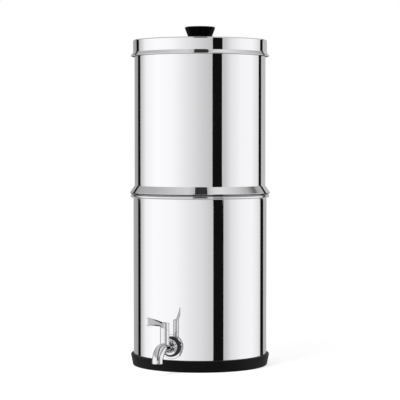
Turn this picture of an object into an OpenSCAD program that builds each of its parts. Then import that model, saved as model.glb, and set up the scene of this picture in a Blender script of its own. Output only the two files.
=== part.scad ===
// Gravity water filter with tap: two nested steel chambers, a lid, two filter elements and a cam-lift tap.
// The origin is the centre of the face that the base rests on. +Z is up and the tap points along -Y.

/* [Chambers] */
// Outer diameter of the lower chamber
lower_od = 216; // [200:1:240]
// Height of the lower chamber from its floor to its rim
lower_h = 272.5; // [240:0.5:320]
// Height of the upper chamber from its floor to its rim
upper_h = 272.5; // [260:0.5:320]
// Thickness of the steel sheet
sheet = 0.8; // [0.6:0.1:1]
// Radius inside the pressed corner of each chamber's floor
floor_corner_r = 4; // [2:0.5:8]
// Gap between the upper chamber and the wall that it nests in
nest_gap = 1.2; // [0.6:0.1:3]
// Depth that the upper chamber reaches into the lower one
nest_depth = 25; // [15:1:35]
// Outer radius of the bead rolled on the lower rim
bead_r = 2.65; // [2:0.05:3.5]
// Radius inside the hem rolled on the upper rim
hem_inner_r = 0.2; // [0.2:0.05:0.5]

/* [Support collar] */
// Reach of the collar's foot past the bead under it
collar_overhang = 1.1; // [0:0.05:2]
// Slope of the collar's cone from level
collar_slope = 56; // [40:1:60]
// Height of the middle of the collar's folded edge above its seat
collar_edge_h = 2.45; // [2.2:0.05:3.5]
// Radius inside the fold at the collar's edge
collar_fold_r = 0.1; // [0.1:0.05:1]
// Slope of the strip that runs from the fold in to the seat
collar_under_slope = 36; // [30:1:45]
// Reach of the collar's seat inside the middle of the bead
collar_seat_w = 2; // [1:0.1:2.5]

/* [Base ring] */
// Height of the rubber ring round the foot of the lower chamber
ring_h = 18.5; // [12:0.5:30]
// Thickness of the ring's floor under the chamber
ring_floor_t = 4; // [3:0.5:8]
// Width of the ring's floor under the chamber
ring_floor_w = 20; // [12:1:40]
// Thickness of the ring's wall at the floor
ring_foot_t = 1.3; // [1:0.1:3]
// Thickness of the ring's wall at its lip
ring_lip_t = 4.3; // [3:0.1:6]
// Radius of the rounded edge under the ring
ring_foot_r = 1.5; // [0.5:0.1:3]
// Radius of the rounded edge on the lip
ring_lip_r = 1.8; // [0.5:0.1:2.5]

/* [Lid] */
// Height of the lid from its hem to its top
lid_h = 26.4; // [18:0.1:40]
// Gap between the lid's skirt and the hem on the upper rim
lid_gap = 0.35; // [0.2:0.05:1]
// Reach of the lid's flared hem past its skirt
lid_flare = 3.8; // [3:0.1:6]
// Slope of the flare from level
lid_flare_slope = 54; // [30:1:60]
// Radius inside the fold at the flare's edge
lid_fold_r = 0.1; // [0.1:0.05:0.8]
// Radius of the bend where the skirt turns into the flare
lid_bend_r = 1; // [0.5:0.1:2]
// Width of the strip turned back under the flare
lid_return_w = 1.2; // [0.5:0.1:2]

/* [Knob] */
// Height of the knob
knob_h = 22.3; // [15:0.1:35]
// Radius of the knob where it meets the lid
knob_foot_r = 17.5; // [12:0.1:22]
// Radius of the knob at its top edge
knob_top_r = 24.5; // [23:0.1:32]
// Radius of the rounded edge round the knob's top
knob_edge_r = 2.2; // [1:0.1:4]
// Rise of the knob's crown above its rounded edge
knob_crown = 0.7; // [0.3:0.1:2]
// Radius of the knob's screw
knob_screw_r = 2.5; // [2:0.1:4]
// Depth of the screw in the knob
knob_screw_depth = 12; // [8:1:14]
// Radius of the washer under the lid
knob_washer_r = 9; // [7:0.5:14]
// Thickness of the washer under the lid
knob_washer_t = 1.2; // [0.8:0.1:2]
// Radius of the knob screw's head
knob_head_r = 4.8; // [4.5:0.1:6.5]
// Height of the knob screw's head
knob_head_h = 2.6; // [2:0.1:4]

/* [Filter elements] */
// Distance from the middle of the chamber to each hole in its floor
hole_ring_r = 48; // [44:1:60]
// Outer radius of the filter block
media_r = 28.5; // [20:0.5:32]
// Radius of the hollow core of the filter block
core_r = 10; // [6:0.5:12]
// Length of the filter block
media_h = 180; // [100:1:200]
// Thickness of the rim that holds the block in each cap
cap_rim_t = 2; // [1.5:0.1:4]
// Depth of the block in each cap
cap_socket = 6; // [3:0.5:10]
// Thickness of the plate of each cap
cap_plate_t = 5; // [3:0.5:10]
// Radius of the stem under each base cap
stem_r = 6; // [5:0.1:8]
// Radius of the water passage in the stem
stem_bore_r = 2.5; // [1.5:0.1:3.5]
// Length of the stem under the chamber's floor
stem_drop = 27; // [20:1:40]
// Thickness of the gasket under each base cap
gasket_t = 3; // [2:0.5:5]
// Radius of the gasket under each base cap
gasket_r = 17; // [12:0.5:20]
// Radius of the wing nut's barrel
wing_barrel_r = 10; // [9.5:0.5:14]
// Height of the wing nut's barrel
wing_barrel_h = 9; // [6:0.5:14]
// Reach of each wing from the middle of the nut
wing_reach = 19; // [16:0.5:26]
// Thickness of each wing
wing_t = 3.6; // [2:0.1:6]
// Height that the wings hang below the top of the nut
wing_h = 14; // [10:0.5:20]

/* [Hole plugs] */
// Radius of the head of each plug
plug_head_r = 14; // [12:0.5:18]
// Height of the domed head of each plug
plug_head_h = 5; // [3:0.5:8]
// Length of each plug's stem under the chamber's floor
plug_drop = 14; // [11:0.5:20]
// Thickness of the gasket under each plug
plug_gasket_t = 2; // [1:0.5:4]
// Width across the flats of each plug's nut
plug_nut_af = 19; // [17:0.5:24]
// Height of each plug's nut
plug_nut_h = 8; // [5:0.5:10]

/* [Tap] */
// Height of the tap's inlet above the surface that the filter stands on
tap_z = 40.3; // [36:0.1:80]
// Radius of the threaded shank through the wall
shank_r = 8; // [7:0.1:8.5]
// Reach of the shank inside the wall
shank_in = 23; // [18:0.5:40]
// Radius of the bore through the shank
inlet_r = 4; // [3:0.1:5]
// Radius of the bright disc on the wall
disc_r = 19.7; // [17:0.1:26]
// Thickness of the bright disc at its middle
disc_t = 1.6; // [1:0.1:3]
// Radius of the outer gasket
outer_gasket_r = 16; // [12:0.1:17]
// Thickness of the outer gasket
outer_gasket_t = 3; // [1.5:0.1:5]
// Radius of the flange that clamps the outer gasket
flange_r = 13; // [10:0.1:16]
// Thickness of the clamping flange
flange_t = 2.6; // [1.5:0.1:5]
// Radius of the level tube
tube_r = 9.25; // [8.8:0.05:10]
// Distance from the wall to the tower's axis
tower_out = 24.5; // [22:0.5:30]
// Radius of the tower and of the handle's hub
tower_r = 7.25; // [7:0.05:8.5]
// Height of the middle of the cam above the inlet
cam_rise = 26; // [24:0.5:34]
// Slope of the cam from level
cam_slope = 43; // [30:1:45]
// Distance from the wall to the spout's axis
spout_out = 50; // [46:0.5:60]
// Radius of the spout
spout_r = 8.75; // [8:0.05:9.2]
// Radius of the bore in the spout
spout_bore_r = 6.5; // [4:0.1:7]
// Radius of the bend along its middle
bend_r = 19; // [16:0.5:20]
// Length of the straight outlet below the bend
outlet_l = 2; // [1:0.5:8]
// Radius of the inner gasket and washer
inner_gasket_r = 15; // [12:0.5:18]
// Thickness of the inner gasket at its middle
inner_gasket_t = 3; // [2:0.1:5]
// Thickness of the inner washer
inner_washer_t = 1.2; // [0.8:0.1:2]
// Width across the flats of the lock nut
lock_nut_af = 24; // [20:0.5:27]
// Height of the lock nut
lock_nut_h = 8; // [5:0.5:12]

/* [Valve] */
// Radius of the valve chamber in the tower
valve_r = 5.6; // [5.2:0.1:6]
// Radius of the port that the plug closes
port_r = 3.2; // [2:0.1:3.6]
// Depth of the seat below the middle of the inlet
seat_drop = 1.3; // [0:0.1:2]
// Depth of the inlet gallery below the seat
gallery_drop = 4; // [3.6:0.1:4.4]
// Radius of the inlet gallery
gallery_r = 2.8; // [2:0.1:3]
// Length over which the gallery runs under the shank's bore
gallery_overlap = 8; // [4:1:12]
// Radius of the stem
rod_r = 2.5; // [2:0.1:3]
// Thickness of the rubber plug
plug_t = 2.5; // [1.5:0.1:4]
// Thickness of the plate that backs the plug
plate_t = 1.2; // [0.8:0.1:2]
// Thickness of the guide at the top of the tower
guide_t = 2.6; // [2.2:0.1:3]
// Radius of the seal's ring section
seal_r = 0.85; // [0.6:0.05:0.9]
// Radius of the spring's wire
wire_r = 0.4; // [0.3:0.05:0.5]
// Number of turns in the spring
spring_turns = 4; // [3:1:5]

/* [Handle] */
// Height of the top of the hub above the middle of the cam
hub_h = 14.3; // [12:0.1:20]
// Radius of the rounded edge on the hub
hub_edge_r = 1; // [0.3:0.1:2]
// Length of the blade from the hub's axis to its tip
blade_l = 60.5; // [40:0.5:90]
// Thickness of the blade
blade_t = 3.8; // [2.5:0.1:6]
// Height of the blade at its tip
blade_tip_h = 13; // [8:0.5:18]
// Rise of the tip's top edge above the hub
blade_rise = 13.4; // [6:0.1:20]
// Height of the blade where it leaves the hub
blade_root_h = 9.5; // [6:0.1:11]
// Depth of the hollow in each side of the blade
blade_hollow = 0.9; // [0.3:0.1:1.2]
// Width of the border left round the hollow
blade_border = 2; // [1:0.1:3]
// Radius of the handle screw's head
handle_head_r = 3.8; // [3.2:0.1:4.2]
// Height of the handle screw's head
handle_head_h = 2; // [1.5:0.1:3]

/* [Fits] */
// Gap between pieces that rest on each other and lift apart
seat_gap = 0.3; // [0.1:0.05:0.5]
// Gap between pieces that are clamped, welded or glued together
joint_gap = 0.05; // [0.02:0.01:0.1]
// Gap round a shaft that slides or turns in its bore
running_gap = 0.06; // [0.02:0.01:0.1]
// Gap round a threaded stem in its hole or nut
thread_gap = 0.15; // [0.05:0.05:0.3]
// Play of the handle's hub between the cam and the screw's head
cam_play = 0.15; // [0.1:0.05:0.3]

/* [Hidden] */
$fn = 96;
wall_fn = 360;
steel = "lightsteelblue";
rubber = [0.1, 0.1, 0.11];
plastic = "whitesmoke";

// Levels, from the floor up
lower_z = ring_floor_t + joint_gap;
lower_rim_z = lower_z + lower_h;
collar_z = lower_rim_z + seat_gap;
upper_z = collar_z - nest_depth;
upper_rim_z = upper_z + upper_h;
lid_top_z = upper_rim_z + seat_gap + sheet;

// Radii of the shells
lower_r = lower_od / 2;
lower_in_r = lower_r - sheet;
bead_mid_r = lower_in_r + bead_r;
upper_r = lower_in_r - nest_gap;
upper_in_r = upper_r - sheet;
hem_r = hem_inner_r + sheet;
lid_r = upper_in_r + 2 * hem_r + lid_gap + sheet;
lid_corner_r = hem_r + lid_gap + sheet;
lid_edge_r = lid_fold_r + sheet;
collar_r = bead_mid_r + bead_r + collar_overhang;
collar_edge_r = collar_fold_r + sheet;

// Stack of each filter element, from the upper chamber's floor up
gasket_z = upper_z + sheet + joint_gap;
base_cap_z = gasket_z + gasket_t + joint_gap;
media_z = base_cap_z + cap_plate_t + joint_gap;
cap_r = media_r + joint_gap + cap_rim_t;
top_cap_z = media_z + media_h + joint_gap;
stem_hole_r = stem_r + thread_gap;
stem_end_z = upper_z - stem_drop;
plug_z = gasket_z + plug_gasket_t + joint_gap;
under_floor_z = upper_z - joint_gap;

// Stations of the tap, as distances out from the wall
disc_out = disc_t + joint_gap;
flange_out = disc_out + outer_gasket_t + 2 * joint_gap;
tower_y = -(lower_r + tower_out);
spout_y = -(lower_r + spout_out);
nut_z = -(sheet + inner_gasket_t + inner_washer_t + 3 * joint_gap);

// Levels of the valve and the handle
seat_z = tap_z - seat_drop;
plug_seat_z = seat_z + seat_gap;
plate_z = plug_seat_z + plug_t + joint_gap;
cam_z = tap_z + cam_rise;
guide_top_z = cam_z - valve_r * tan(cam_slope) - joint_gap;
guide_z = guide_top_z - guide_t;
hub_top_z = cam_z + hub_h;
head_pocket_h = handle_head_h + 1.2;
rod_top_z = hub_top_z - head_pocket_h + cam_play;
handle_screw_r = 1.25;
screw_depth = 8;
plug_pin_r = 1.5;
plug_pin_l = 1.6;
far = 400;

// Points on an arc round [x, y], turning from one angle to another
function arc(x, y, r, from, to, steps = 8) = [
    for (i = [0:steps])
        let (a = from + (to - from) * i / steps)
            [x + r * cos(a), y + r * sin(a)]
];

// Points on a curve from p to r that leaves towards q
function bend(p, q, r, steps = 10) = [
    for (i = [0:steps])
        let (t = i / steps)
            p * (1 - t) * (1 - t) + q * 2 * t * (1 - t) + r * t * t
];

// Unit vector to the left of a step from p to q
function left_of(p, q) =
    let (d = q - p)
        [-d[1], d[0]] / norm(d);

// A line moved to its left by t, with its corners mitred
function moved(line, t) = [
    for (i = [0:len(line) - 1])
        let (
            before = left_of(line[max(i - 1, 0)], line[max(i, 1)]),
            after = left_of(line[min(i, len(line) - 2)], line[min(i + 1, len(line) - 1)]),
            both = before + after
        )
            line[i] + both * 2 * t / (both * both)
];

function reversed(line) = [for (i = [len(line) - 1:-1:0]) line[i]];

// Sheet metal spun round the Z axis: the line is its left face, and the sheet lies to its right
module spun_sheet(line) {
    rotate_extrude()
        polygon(concat(line, reversed(moved(line, -sheet))));
}

module tube(r, bore_r, h) {
    difference() {
        cylinder(r = r, h = h);
        translate([0, 0, -1])
            cylinder(r = bore_r, h = h + 2);
    }
}

// Places a piece on the tap's inlet axis, with +Z running out from the wall
module from_wall(out = 0) {
    translate([0, -lower_r - out, tap_z])
        rotate([90, 0, 0])
            children();
}

module on_tower(z) {
    translate([0, tower_y, z])
        children();
}

// The half-space above the cam's slope (side 1) or below it (side -1)
module cam_side(side, lift = 0) {
    on_tower(cam_z + lift)
        rotate([-cam_slope, 0, 0])
            translate([0, 0, side * far / 2])
                cube(far, center = true);
}

module at_holes(angles) {
    for (a = angles)
        rotate(a)
            translate([hole_ring_r, 0, 0])
                children();
}

module base_ring() {
    wall_r = lower_r + joint_gap;
    foot_r = lower_r + ring_foot_t;
    lip_r = lower_r + ring_lip_t;
    inner_r = lower_r - ring_floor_w;
    outline = concat(
        [[inner_r, 0]],
        arc(foot_r - ring_foot_r, ring_foot_r, ring_foot_r, -90, 0, 4),
        arc(lip_r - ring_lip_r, ring_h - ring_lip_r, ring_lip_r, 0, 90, 6),
        [[wall_r, ring_h], [wall_r, ring_floor_t], [inner_r, ring_floor_t]]
    );
    color(rubber)
        rotate_extrude()
            polygon(outline);
}

module lower_chamber() {
    color(steel)
        difference() {
            spun_sheet(concat(
                [[0, lower_z + sheet]],
                arc(lower_in_r - floor_corner_r, lower_z + sheet + floor_corner_r, floor_corner_r, -90, 0, 6),
                arc(bead_mid_r, lower_rim_z - bead_r, bead_r, 180, -110, 18)
            ));
            from_wall(-lower_r / 2)
                cylinder(r = shank_r + thread_gap, h = lower_r);
        }
}

module upper_chamber() {
    color(steel)
        difference() {
            spun_sheet(concat(
                [[0, upper_z + sheet]],
                arc(upper_in_r - floor_corner_r, upper_z + sheet + floor_corner_r, floor_corner_r, -90, 0, 6),
                arc(upper_in_r + hem_r, upper_rim_z - hem_r, hem_r, 180, -90, 12)
            ));
            at_holes([0, 90, 180, 270])
                translate([0, 0, upper_z - 1])
                    cylinder(r = stem_hole_r, h = sheet + 2);
        }
}

module support_collar() {
    edge_z = collar_z + collar_edge_h;
    edge = arc(collar_r - collar_edge_r, edge_z, collar_edge_r, 90 - collar_slope, collar_under_slope - 90, 4);
    low = edge[len(edge) - 1];
    seat_x = low[0] - (low[1] - collar_z) / tan(collar_under_slope);
    top_r = upper_r + joint_gap;
    color(steel)
        difference() {
            spun_sheet(concat(
                [[top_r, edge[0][1] + (edge[0][0] - top_r) * tan(collar_slope)]],
                edge,
                [[seat_x, collar_z], [bead_mid_r - collar_seat_w, collar_z]]
            ));
            translate([0, 0, collar_z - 1])
                cylinder(r = top_r, h = upper_h);
        }
}

module lid() {
    hem_z = lid_top_z - lid_h;
    tip_x = lid_r + lid_flare - lid_edge_r;
    tip = arc(tip_x, hem_z + lid_edge_r, lid_edge_r, 90 - lid_flare_slope, -90, 6);
    // The bend's lower end lies on the flare's slope, which meets the tip
    turn_x = lid_r + lid_bend_r * (1 - sin(lid_flare_slope));
    turn_z = tip[0][1] + (tip[0][0] - turn_x) * tan(lid_flare_slope);
    bend_z = turn_z + lid_bend_r * cos(lid_flare_slope);
    color(steel)
        difference() {
            spun_sheet(concat(
                [[0, lid_top_z]],
                arc(lid_r - lid_corner_r, lid_top_z - lid_corner_r, lid_corner_r, 90, 0, 6),
                arc(lid_r + lid_bend_r, bend_z, lid_bend_r, 180, 270 - lid_flare_slope, 5),
                tip,
                [[tip_x - lid_return_w, hem_z]]
            ));
            translate([0, 0, lid_top_z - sheet - 1])
                cylinder(r = knob_screw_r + thread_gap, h = sheet + 2);
        }
}

module lid_knob() {
    foot_round = 0.6;
    edge_z = knob_h - knob_crown - knob_edge_r;
    edge_x = knob_top_r - knob_edge_r;
    crown = [for (i = [1:6]) let (t = i / 6) [edge_x * (1 - t), knob_h - knob_crown * (1 - t) * (1 - t)]];
    color(rubber)
        translate([0, 0, lid_top_z + joint_gap])
            difference() {
                rotate_extrude()
                    polygon(concat(
                        [[0, 0]],
                        arc(knob_foot_r - foot_round, foot_round, foot_round, -90, -15, 3),
                        arc(edge_x, edge_z, knob_edge_r, -20, 90, 8),
                        crown
                    ));
                translate([0, 0, -1])
                    cylinder(r = knob_screw_r + thread_gap, h = knob_screw_depth + 2);
            }
}

module knob_washer() {
    color(steel)
        translate([0, 0, lid_top_z - sheet - joint_gap - knob_washer_t])
            tube(knob_washer_r, knob_screw_r + thread_gap, knob_washer_t);
}

module knob_screw() {
    head_z = lid_top_z - sheet - 2 * joint_gap - knob_washer_t - knob_head_h;
    color(steel)
        translate([0, 0, head_z])
            difference() {
                union() {
                    rotate_extrude()
                        polygon(concat(
                            [[0, 0]],
                            bend([knob_head_r * 0.5, 0], [knob_head_r, 0], [knob_head_r, knob_head_h], 6),
                            [[0, knob_head_h]]
                        ));
                    cylinder(r = knob_screw_r, h = lid_top_z + knob_screw_depth - head_z);
                }
                // Cross recess for the driver
                for (a = [0, 90])
                    rotate(a)
                        translate([0, 0, knob_head_h * 0.2])
                            cube([knob_head_r, 1, knob_head_h * 0.8], center = true);
            }
}

module filter_block() {
    color([0.15, 0.15, 0.16])
        translate([0, 0, media_z])
            tube(media_r, core_r, media_h);
}

// A cap's plate with the rim that takes the end of the block
module cap_shell() {
    rounding = cap_plate_t / 3;
    difference() {
        rotate_extrude()
            polygon(concat(
                [[0, 0]],
                arc(cap_r - rounding, rounding, rounding, -90, 0, 4),
                [[cap_r, cap_plate_t + cap_socket], [0, cap_plate_t + cap_socket]]
            ));
        translate([0, 0, cap_plate_t])
            cylinder(r = media_r + joint_gap, h = cap_socket + 1);
    }
}

module top_cap() {
    color(plastic)
        translate([0, 0, top_cap_z + cap_plate_t])
            mirror([0, 0, 1])
                cap_shell();
}

module base_cap() {
    color(plastic)
        difference() {
            union() {
                translate([0, 0, base_cap_z])
                    cap_shell();
                translate([0, 0, stem_end_z])
                    cylinder(r = stem_r, h = base_cap_z - stem_end_z + 1);
            }
            translate([0, 0, stem_end_z - 1])
                cylinder(r = stem_bore_r, h = media_z - stem_end_z + 2);
        }
}

module gasket() {
    color(rubber)
        translate([0, 0, gasket_z])
            tube(gasket_r, stem_hole_r, gasket_t);
}

module wing_nut() {
    // Each wing starts inside the barrel's wall, between its two faces
    inset = 1;
    root_x = wing_barrel_r - inset;
    tip_round = 2;
    wing = concat(
        bend([root_x, wing_barrel_h - inset], [wing_reach - tip_round, wing_h], [wing_reach, wing_h - tip_round], 5),
        bend([wing_reach, wing_barrel_h], [wing_reach - inset, tip_round], [root_x, inset], 5)
    );
    color(plastic)
        translate([0, 0, under_floor_z])
            mirror([0, 0, 1])
                difference() {
                    union() {
                        cylinder(r = wing_barrel_r, h = wing_barrel_h);
                        for (a = [45, 225])
                            rotate(a)
                                rotate([90, 0, 0])
                                    linear_extrude(wing_t, center = true)
                                        polygon(wing);
                    }
                    translate([0, 0, -1])
                        cylinder(r = stem_hole_r, h = wing_h + 2);
                }
}

module hole_plugs() {
    color(plastic)
        at_holes([90, 270]) {
            translate([0, 0, plug_z])
                rotate_extrude()
                    polygon(concat(
                        [[0, 0], [plug_head_r, 0]],
                        bend([plug_head_r, 1], [plug_head_r, plug_head_h], [0, plug_head_h], 6)
                    ));
            translate([0, 0, upper_z - plug_drop])
                cylinder(r = stem_r, h = plug_z + 1 - upper_z + plug_drop);
        }
}

module plug_gaskets() {
    color(rubber)
        at_holes([90, 270])
            translate([0, 0, gasket_z])
                tube(plug_head_r - 1, stem_hole_r, plug_gasket_t);
}

module plug_nuts() {
    color(plastic)
        at_holes([90, 270])
            translate([0, 0, under_floor_z - plug_nut_h])
                difference() {
                    cylinder(d = plug_nut_af / cos(30), h = plug_nut_h, $fn = 6);
                    translate([0, 0, -1])
                        cylinder(r = stem_hole_r, h = plug_nut_h + 2);
                }
}

// The bright disc follows the curve of the wall behind it
module tap_disc() {
    round_r = 0.8;
    color(steel)
        difference() {
            from_wall(-disc_r / 2)
                rotate_extrude()
                    polygon(concat(
                        [[shank_r + thread_gap, 0], [disc_r, 0]],
                        arc(disc_r - round_r, disc_r / 2 + disc_t - round_r, round_r, 0, 90, 3),
                        [[shank_r + thread_gap, disc_r / 2 + disc_t]]
                    ));
            cylinder(r = lower_r + joint_gap, h = far, $fn = wall_fn);
        }
}

module tap_outer_gasket() {
    color(rubber)
        from_wall(disc_out)
            tube(outer_gasket_r, shank_r + thread_gap, outer_gasket_t);
}

// The inner gasket fills the hollow of the wall's curve and gives the washer a flat seat
module tap_inner_gasket() {
    color(rubber)
        intersection() {
            from_wall(-sheet - inner_gasket_t)
                tube(inner_gasket_r, shank_r + thread_gap, inner_gasket_t);
            cylinder(r = lower_in_r - joint_gap, h = far, $fn = wall_fn);
        }
}

module tap_inner_washer() {
    color(steel)
        from_wall(nut_z + joint_gap)
            tube(inner_gasket_r, shank_r + thread_gap, inner_washer_t);
}

module tap_lock_nut() {
    color(steel)
        from_wall(nut_z - lock_nut_h)
            difference() {
                cylinder(d = lock_nut_af / cos(30), h = lock_nut_h, $fn = 6);
                translate([0, 0, -1])
                    cylinder(r = shank_r + thread_gap, h = lock_nut_h + 2);
            }
}

// Shank, flange and level tube, turned as one profile round the inlet axis
module tap_barrel() {
    round_r = 0.8;
    tube_end = tower_out + tower_r / 2;
    from_wall()
        rotate_extrude()
            polygon(concat(
                [[0, -shank_in], [shank_r - round_r, -shank_in], [shank_r, round_r - shank_in]],
                [[shank_r, flange_out]],
                arc(flange_r - round_r, flange_out + round_r, round_r, -90, 0, 3),
                arc(flange_r - round_r, flange_out + flange_t - round_r, round_r, 0, 90, 3),
                [[tube_r, flange_out + flange_t]],
                bend([tube_r, tube_end - 2], [tube_r, tube_end + 1], [spout_r - 1, tube_end + 2], 4),
                [[0, tube_end + 2]]
            ));
}

// Level run of a pipe from the tower to the start of the bend, or past it
module level_run(r, z, past = 0) {
    on_tower(z)
        rotate([90, 0, 0])
            cylinder(r = r, h = tower_y - spout_y - bend_r + past);
}

// Quarter bend and straight outlet of the spout, or of the bore inside it
module spout_bend(r, outlet) {
    translate([0, spout_y + bend_r, tap_z - bend_r])
        rotate([90, 0, -90])
            rotate_extrude(angle = 90)
                translate([bend_r, 0])
                    circle(r = r);
    translate([0, spout_y, tap_z - bend_r - outlet])
        cylinder(r = r, h = outlet);
}

// Water comes in by the shank, dips under the seat, rises through the port and leaves by the spout
module tap_passages() {
    gallery_z = seat_z - gallery_drop;
    port_z = gallery_z - gallery_r / 2;
    run_r = spout_bore_r / 2;
    from_wall(-shank_in - 1)
        cylinder(r = inlet_r, h = shank_in + 1 + flange_out);
    // The gallery starts inside the port, off the tower's axis
    on_tower(gallery_z)
        rotate([-90, 0, 0])
            translate([0, 0, port_r / 4])
                cylinder(r = gallery_r, h = tower_out - flange_out + gallery_overlap);
    on_tower(port_z)
        cylinder(r = port_r, h = seat_z + 1 - port_z);
    on_tower(seat_z)
        cylinder(r = valve_r, h = far);
    level_run(run_r, seat_z + run_r + seat_gap, 2);
    spout_bend(spout_bore_r, outlet_l + 1);
}

module tap_body() {
    color(steel)
        difference() {
            union() {
                tap_barrel();
                level_run(spout_r, tap_z);
                spout_bend(spout_r, outlet_l);
                difference() {
                    on_tower(tap_z)
                        cylinder(r = tower_r, h = 2 * cam_rise);
                    cam_side(1);
                }
            }
            tap_passages();
        }
}

module stem_guide() {
    color("goldenrod")
        on_tower(guide_z)
            difference() {
                cylinder(r = valve_r - joint_gap, h = guide_t);
                translate([0, 0, -1])
                    cylinder(r = rod_r + running_gap, h = guide_t + 2);
                translate([0, 0, guide_t - 2 * seal_r])
                    cylinder(r = rod_r + running_gap + 2 * seal_r + joint_gap, h = 2 * seal_r + 1);
            }
}

module stem_seal() {
    color(rubber)
        on_tower(guide_top_z - seal_r + joint_gap)
            rotate_extrude()
                translate([rod_r + running_gap + seal_r, 0])
                    circle(r = seal_r);
}

// One unbroken wire wound as a helix
module coil(r, wire, height, turns, per_turn = 14, sides = 8) {
    rings = turns * per_turn;
    points = [
        for (i = [0:rings], j = [0:sides - 1])
            let (
                a = 360 * i / per_turn,
                b = 360 * j / sides,
                x = r + wire * cos(b)
            )
                [x * cos(a), x * sin(a), wire + (height - 2 * wire) * i / rings + wire * sin(b)]
    ];
    skin = [
        for (i = [0:rings - 1], j = [0:sides - 1])
            let (
                k = (j + 1) % sides,
                p = i * sides,
                q = p + sides
            )
                each [[p + j, q + k, q + j], [p + j, p + k, q + k]]
    ];
    ends = [
        for (j = [1:sides - 2])
            each [[0, j, j + 1], [rings * sides, rings * sides + j + 1, rings * sides + j]]
    ];
    polyhedron(points, concat(skin, [for (f = ends) reversed(f)]));
}

module valve_spring() {
    bottom = plate_z + plate_t + joint_gap;
    color(steel)
        on_tower(bottom)
            coil((rod_r + valve_r) / 2, wire_r, guide_z - joint_gap - bottom, spring_turns);
}

module valve_stem() {
    color(steel)
        difference() {
            union() {
                on_tower(plate_z)
                    cylinder(r = rod_r, h = rod_top_z - plate_z);
                on_tower(plate_z)
                    cylinder(r = valve_r - seat_gap, h = plate_t);
                on_tower(plate_z - plug_pin_l)
                    cylinder(r = plug_pin_r, h = plug_pin_l + 1);
            }
            on_tower(rod_top_z - screw_depth)
                cylinder(r = handle_screw_r + thread_gap, h = screw_depth + 1);
        }
}

module valve_plug() {
    color(rubber)
        on_tower(plug_seat_z)
            difference() {
                cylinder(r = valve_r - seat_gap, h = plug_t);
                translate([0, 0, plug_t - plug_pin_l - joint_gap])
                    cylinder(r = plug_pin_r + joint_gap, h = plug_pin_l + 1);
            }
}

module handle_screw() {
    round_r = 0.6;
    socket_r = 1.6;
    socket_depth = 1.2;
    color(steel)
        on_tower(rod_top_z + joint_gap)
            difference() {
                union() {
                    rotate_extrude()
                        polygon(concat(
                            [[0, 0], [handle_head_r, 0]],
                            arc(handle_head_r - round_r, handle_head_h - round_r, round_r, 0, 90, 3),
                            [[0, handle_head_h]]
                        ));
                    translate([0, 0, 1 - screw_depth])
                        cylinder(r = handle_screw_r, h = screw_depth);
                }
                // Socket for a hexagon key
                translate([0, 0, handle_head_h - socket_depth])
                    cylinder(r = socket_r, h = socket_depth + 1, $fn = 6);
            }
}

// Side view of the blade: x runs out from the hub's axis and y up from the hub's top
function blade_outline(border = 0) =
    let (
        tip_r = 2 - border / 2,
        tip_x = blade_l - border,
        top_y = blade_rise - border,
        low_y = blade_rise - blade_tip_h + border,
        root_x = border > 0 ? tower_r + border : 0,
        root_top = -border,
        root_low = border - blade_root_h
    )
        concat(
            bend([root_x, root_top], [blade_l * 0.42, blade_rise * 0.45 - border], [tip_x - tip_r, top_y]),
            border > 0
                ? [[blade_l + 1, top_y], [blade_l + 1, low_y]]
                : concat(
                    arc(tip_x - tip_r, top_y - tip_r, tip_r, 80, 0, 4),
                    arc(tip_x - tip_r, low_y + tip_r, tip_r, 0, -80, 4)
                ),
            bend([tip_x - tip_r, low_y], [blade_l * 0.2, root_low + blade_rise * 0.46], [root_x, root_low])
        );

module tap_handle() {
    color(steel)
        difference() {
            union() {
                on_tower(cam_z - cam_rise / 2)
                    rotate_extrude()
                        polygon(concat(
                            [[0, 0], [tower_r, 0]],
                            arc(tower_r - hub_edge_r, cam_rise / 2 + hub_h - hub_edge_r, hub_edge_r, 0, 90, 4),
                            [[0, cam_rise / 2 + hub_h]]
                        ));
                difference() {
                    on_tower(hub_top_z)
                        rotate([90, 0, -90])
                            linear_extrude(blade_t, center = true)
                                polygon(blade_outline());
                    for (side = [-1, 1])
                        on_tower(hub_top_z)
                            translate([side * (blade_t - blade_hollow + 1) / 2, 0, 0])
                                rotate([90, 0, -90])
                                    linear_extrude(blade_hollow + 1, center = true)
                                        polygon(blade_outline(blade_border));
                }
            }
            // Only the hub is cut to the cam's slope, so the blade passes outside the tower
            intersection() {
                cam_side(-1, cam_play);
                on_tower(0)
                    cylinder(r = tower_r + cam_play, h = far);
            }
            on_tower(0)
                cylinder(r = rod_r + running_gap, h = far);
            on_tower(hub_top_z - head_pocket_h)
                cylinder(r = handle_head_r + seat_gap, h = far);
        }
}

module left() {
    at_holes([180])
        children();
}

module right() {
    at_holes([0])
        children();
}

base_ring();
lower_chamber();
tap_body();
tap_disc();
tap_outer_gasket();
tap_inner_gasket();
tap_inner_washer();
tap_lock_nut();
stem_guide();
stem_seal();
valve_spring();
valve_stem();
valve_plug();
handle_screw();
tap_handle();
upper_chamber();
support_collar();
left() filter_block();  // left_filter_block
left() top_cap();  // left_top_cap
left() base_cap();  // left_base_cap
left() gasket();  // left_gasket
left() wing_nut();  // left_wing_nut
right() filter_block();  // right_filter_block
right() top_cap();  // right_top_cap
right() base_cap();  // right_base_cap
right() gasket();  // right_gasket
right() wing_nut();  // right_wing_nut
hole_plugs();
plug_gaskets();
plug_nuts();
lid();
lid_knob();
knob_screw();
knob_washer();
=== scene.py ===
"""Dresses the gravity water filter: mirror shells, rubber base, cam-lift tap and filter elements."""

import logging
import math
from dataclasses import dataclass, field
from enum import Enum
from typing import Any, Iterable, Sequence

import bmesh
import bpy
from bpy.types import Material, Mesh, Node, NodeSocket, NodeTree, Object
from mathutils import Matrix, Vector


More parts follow.
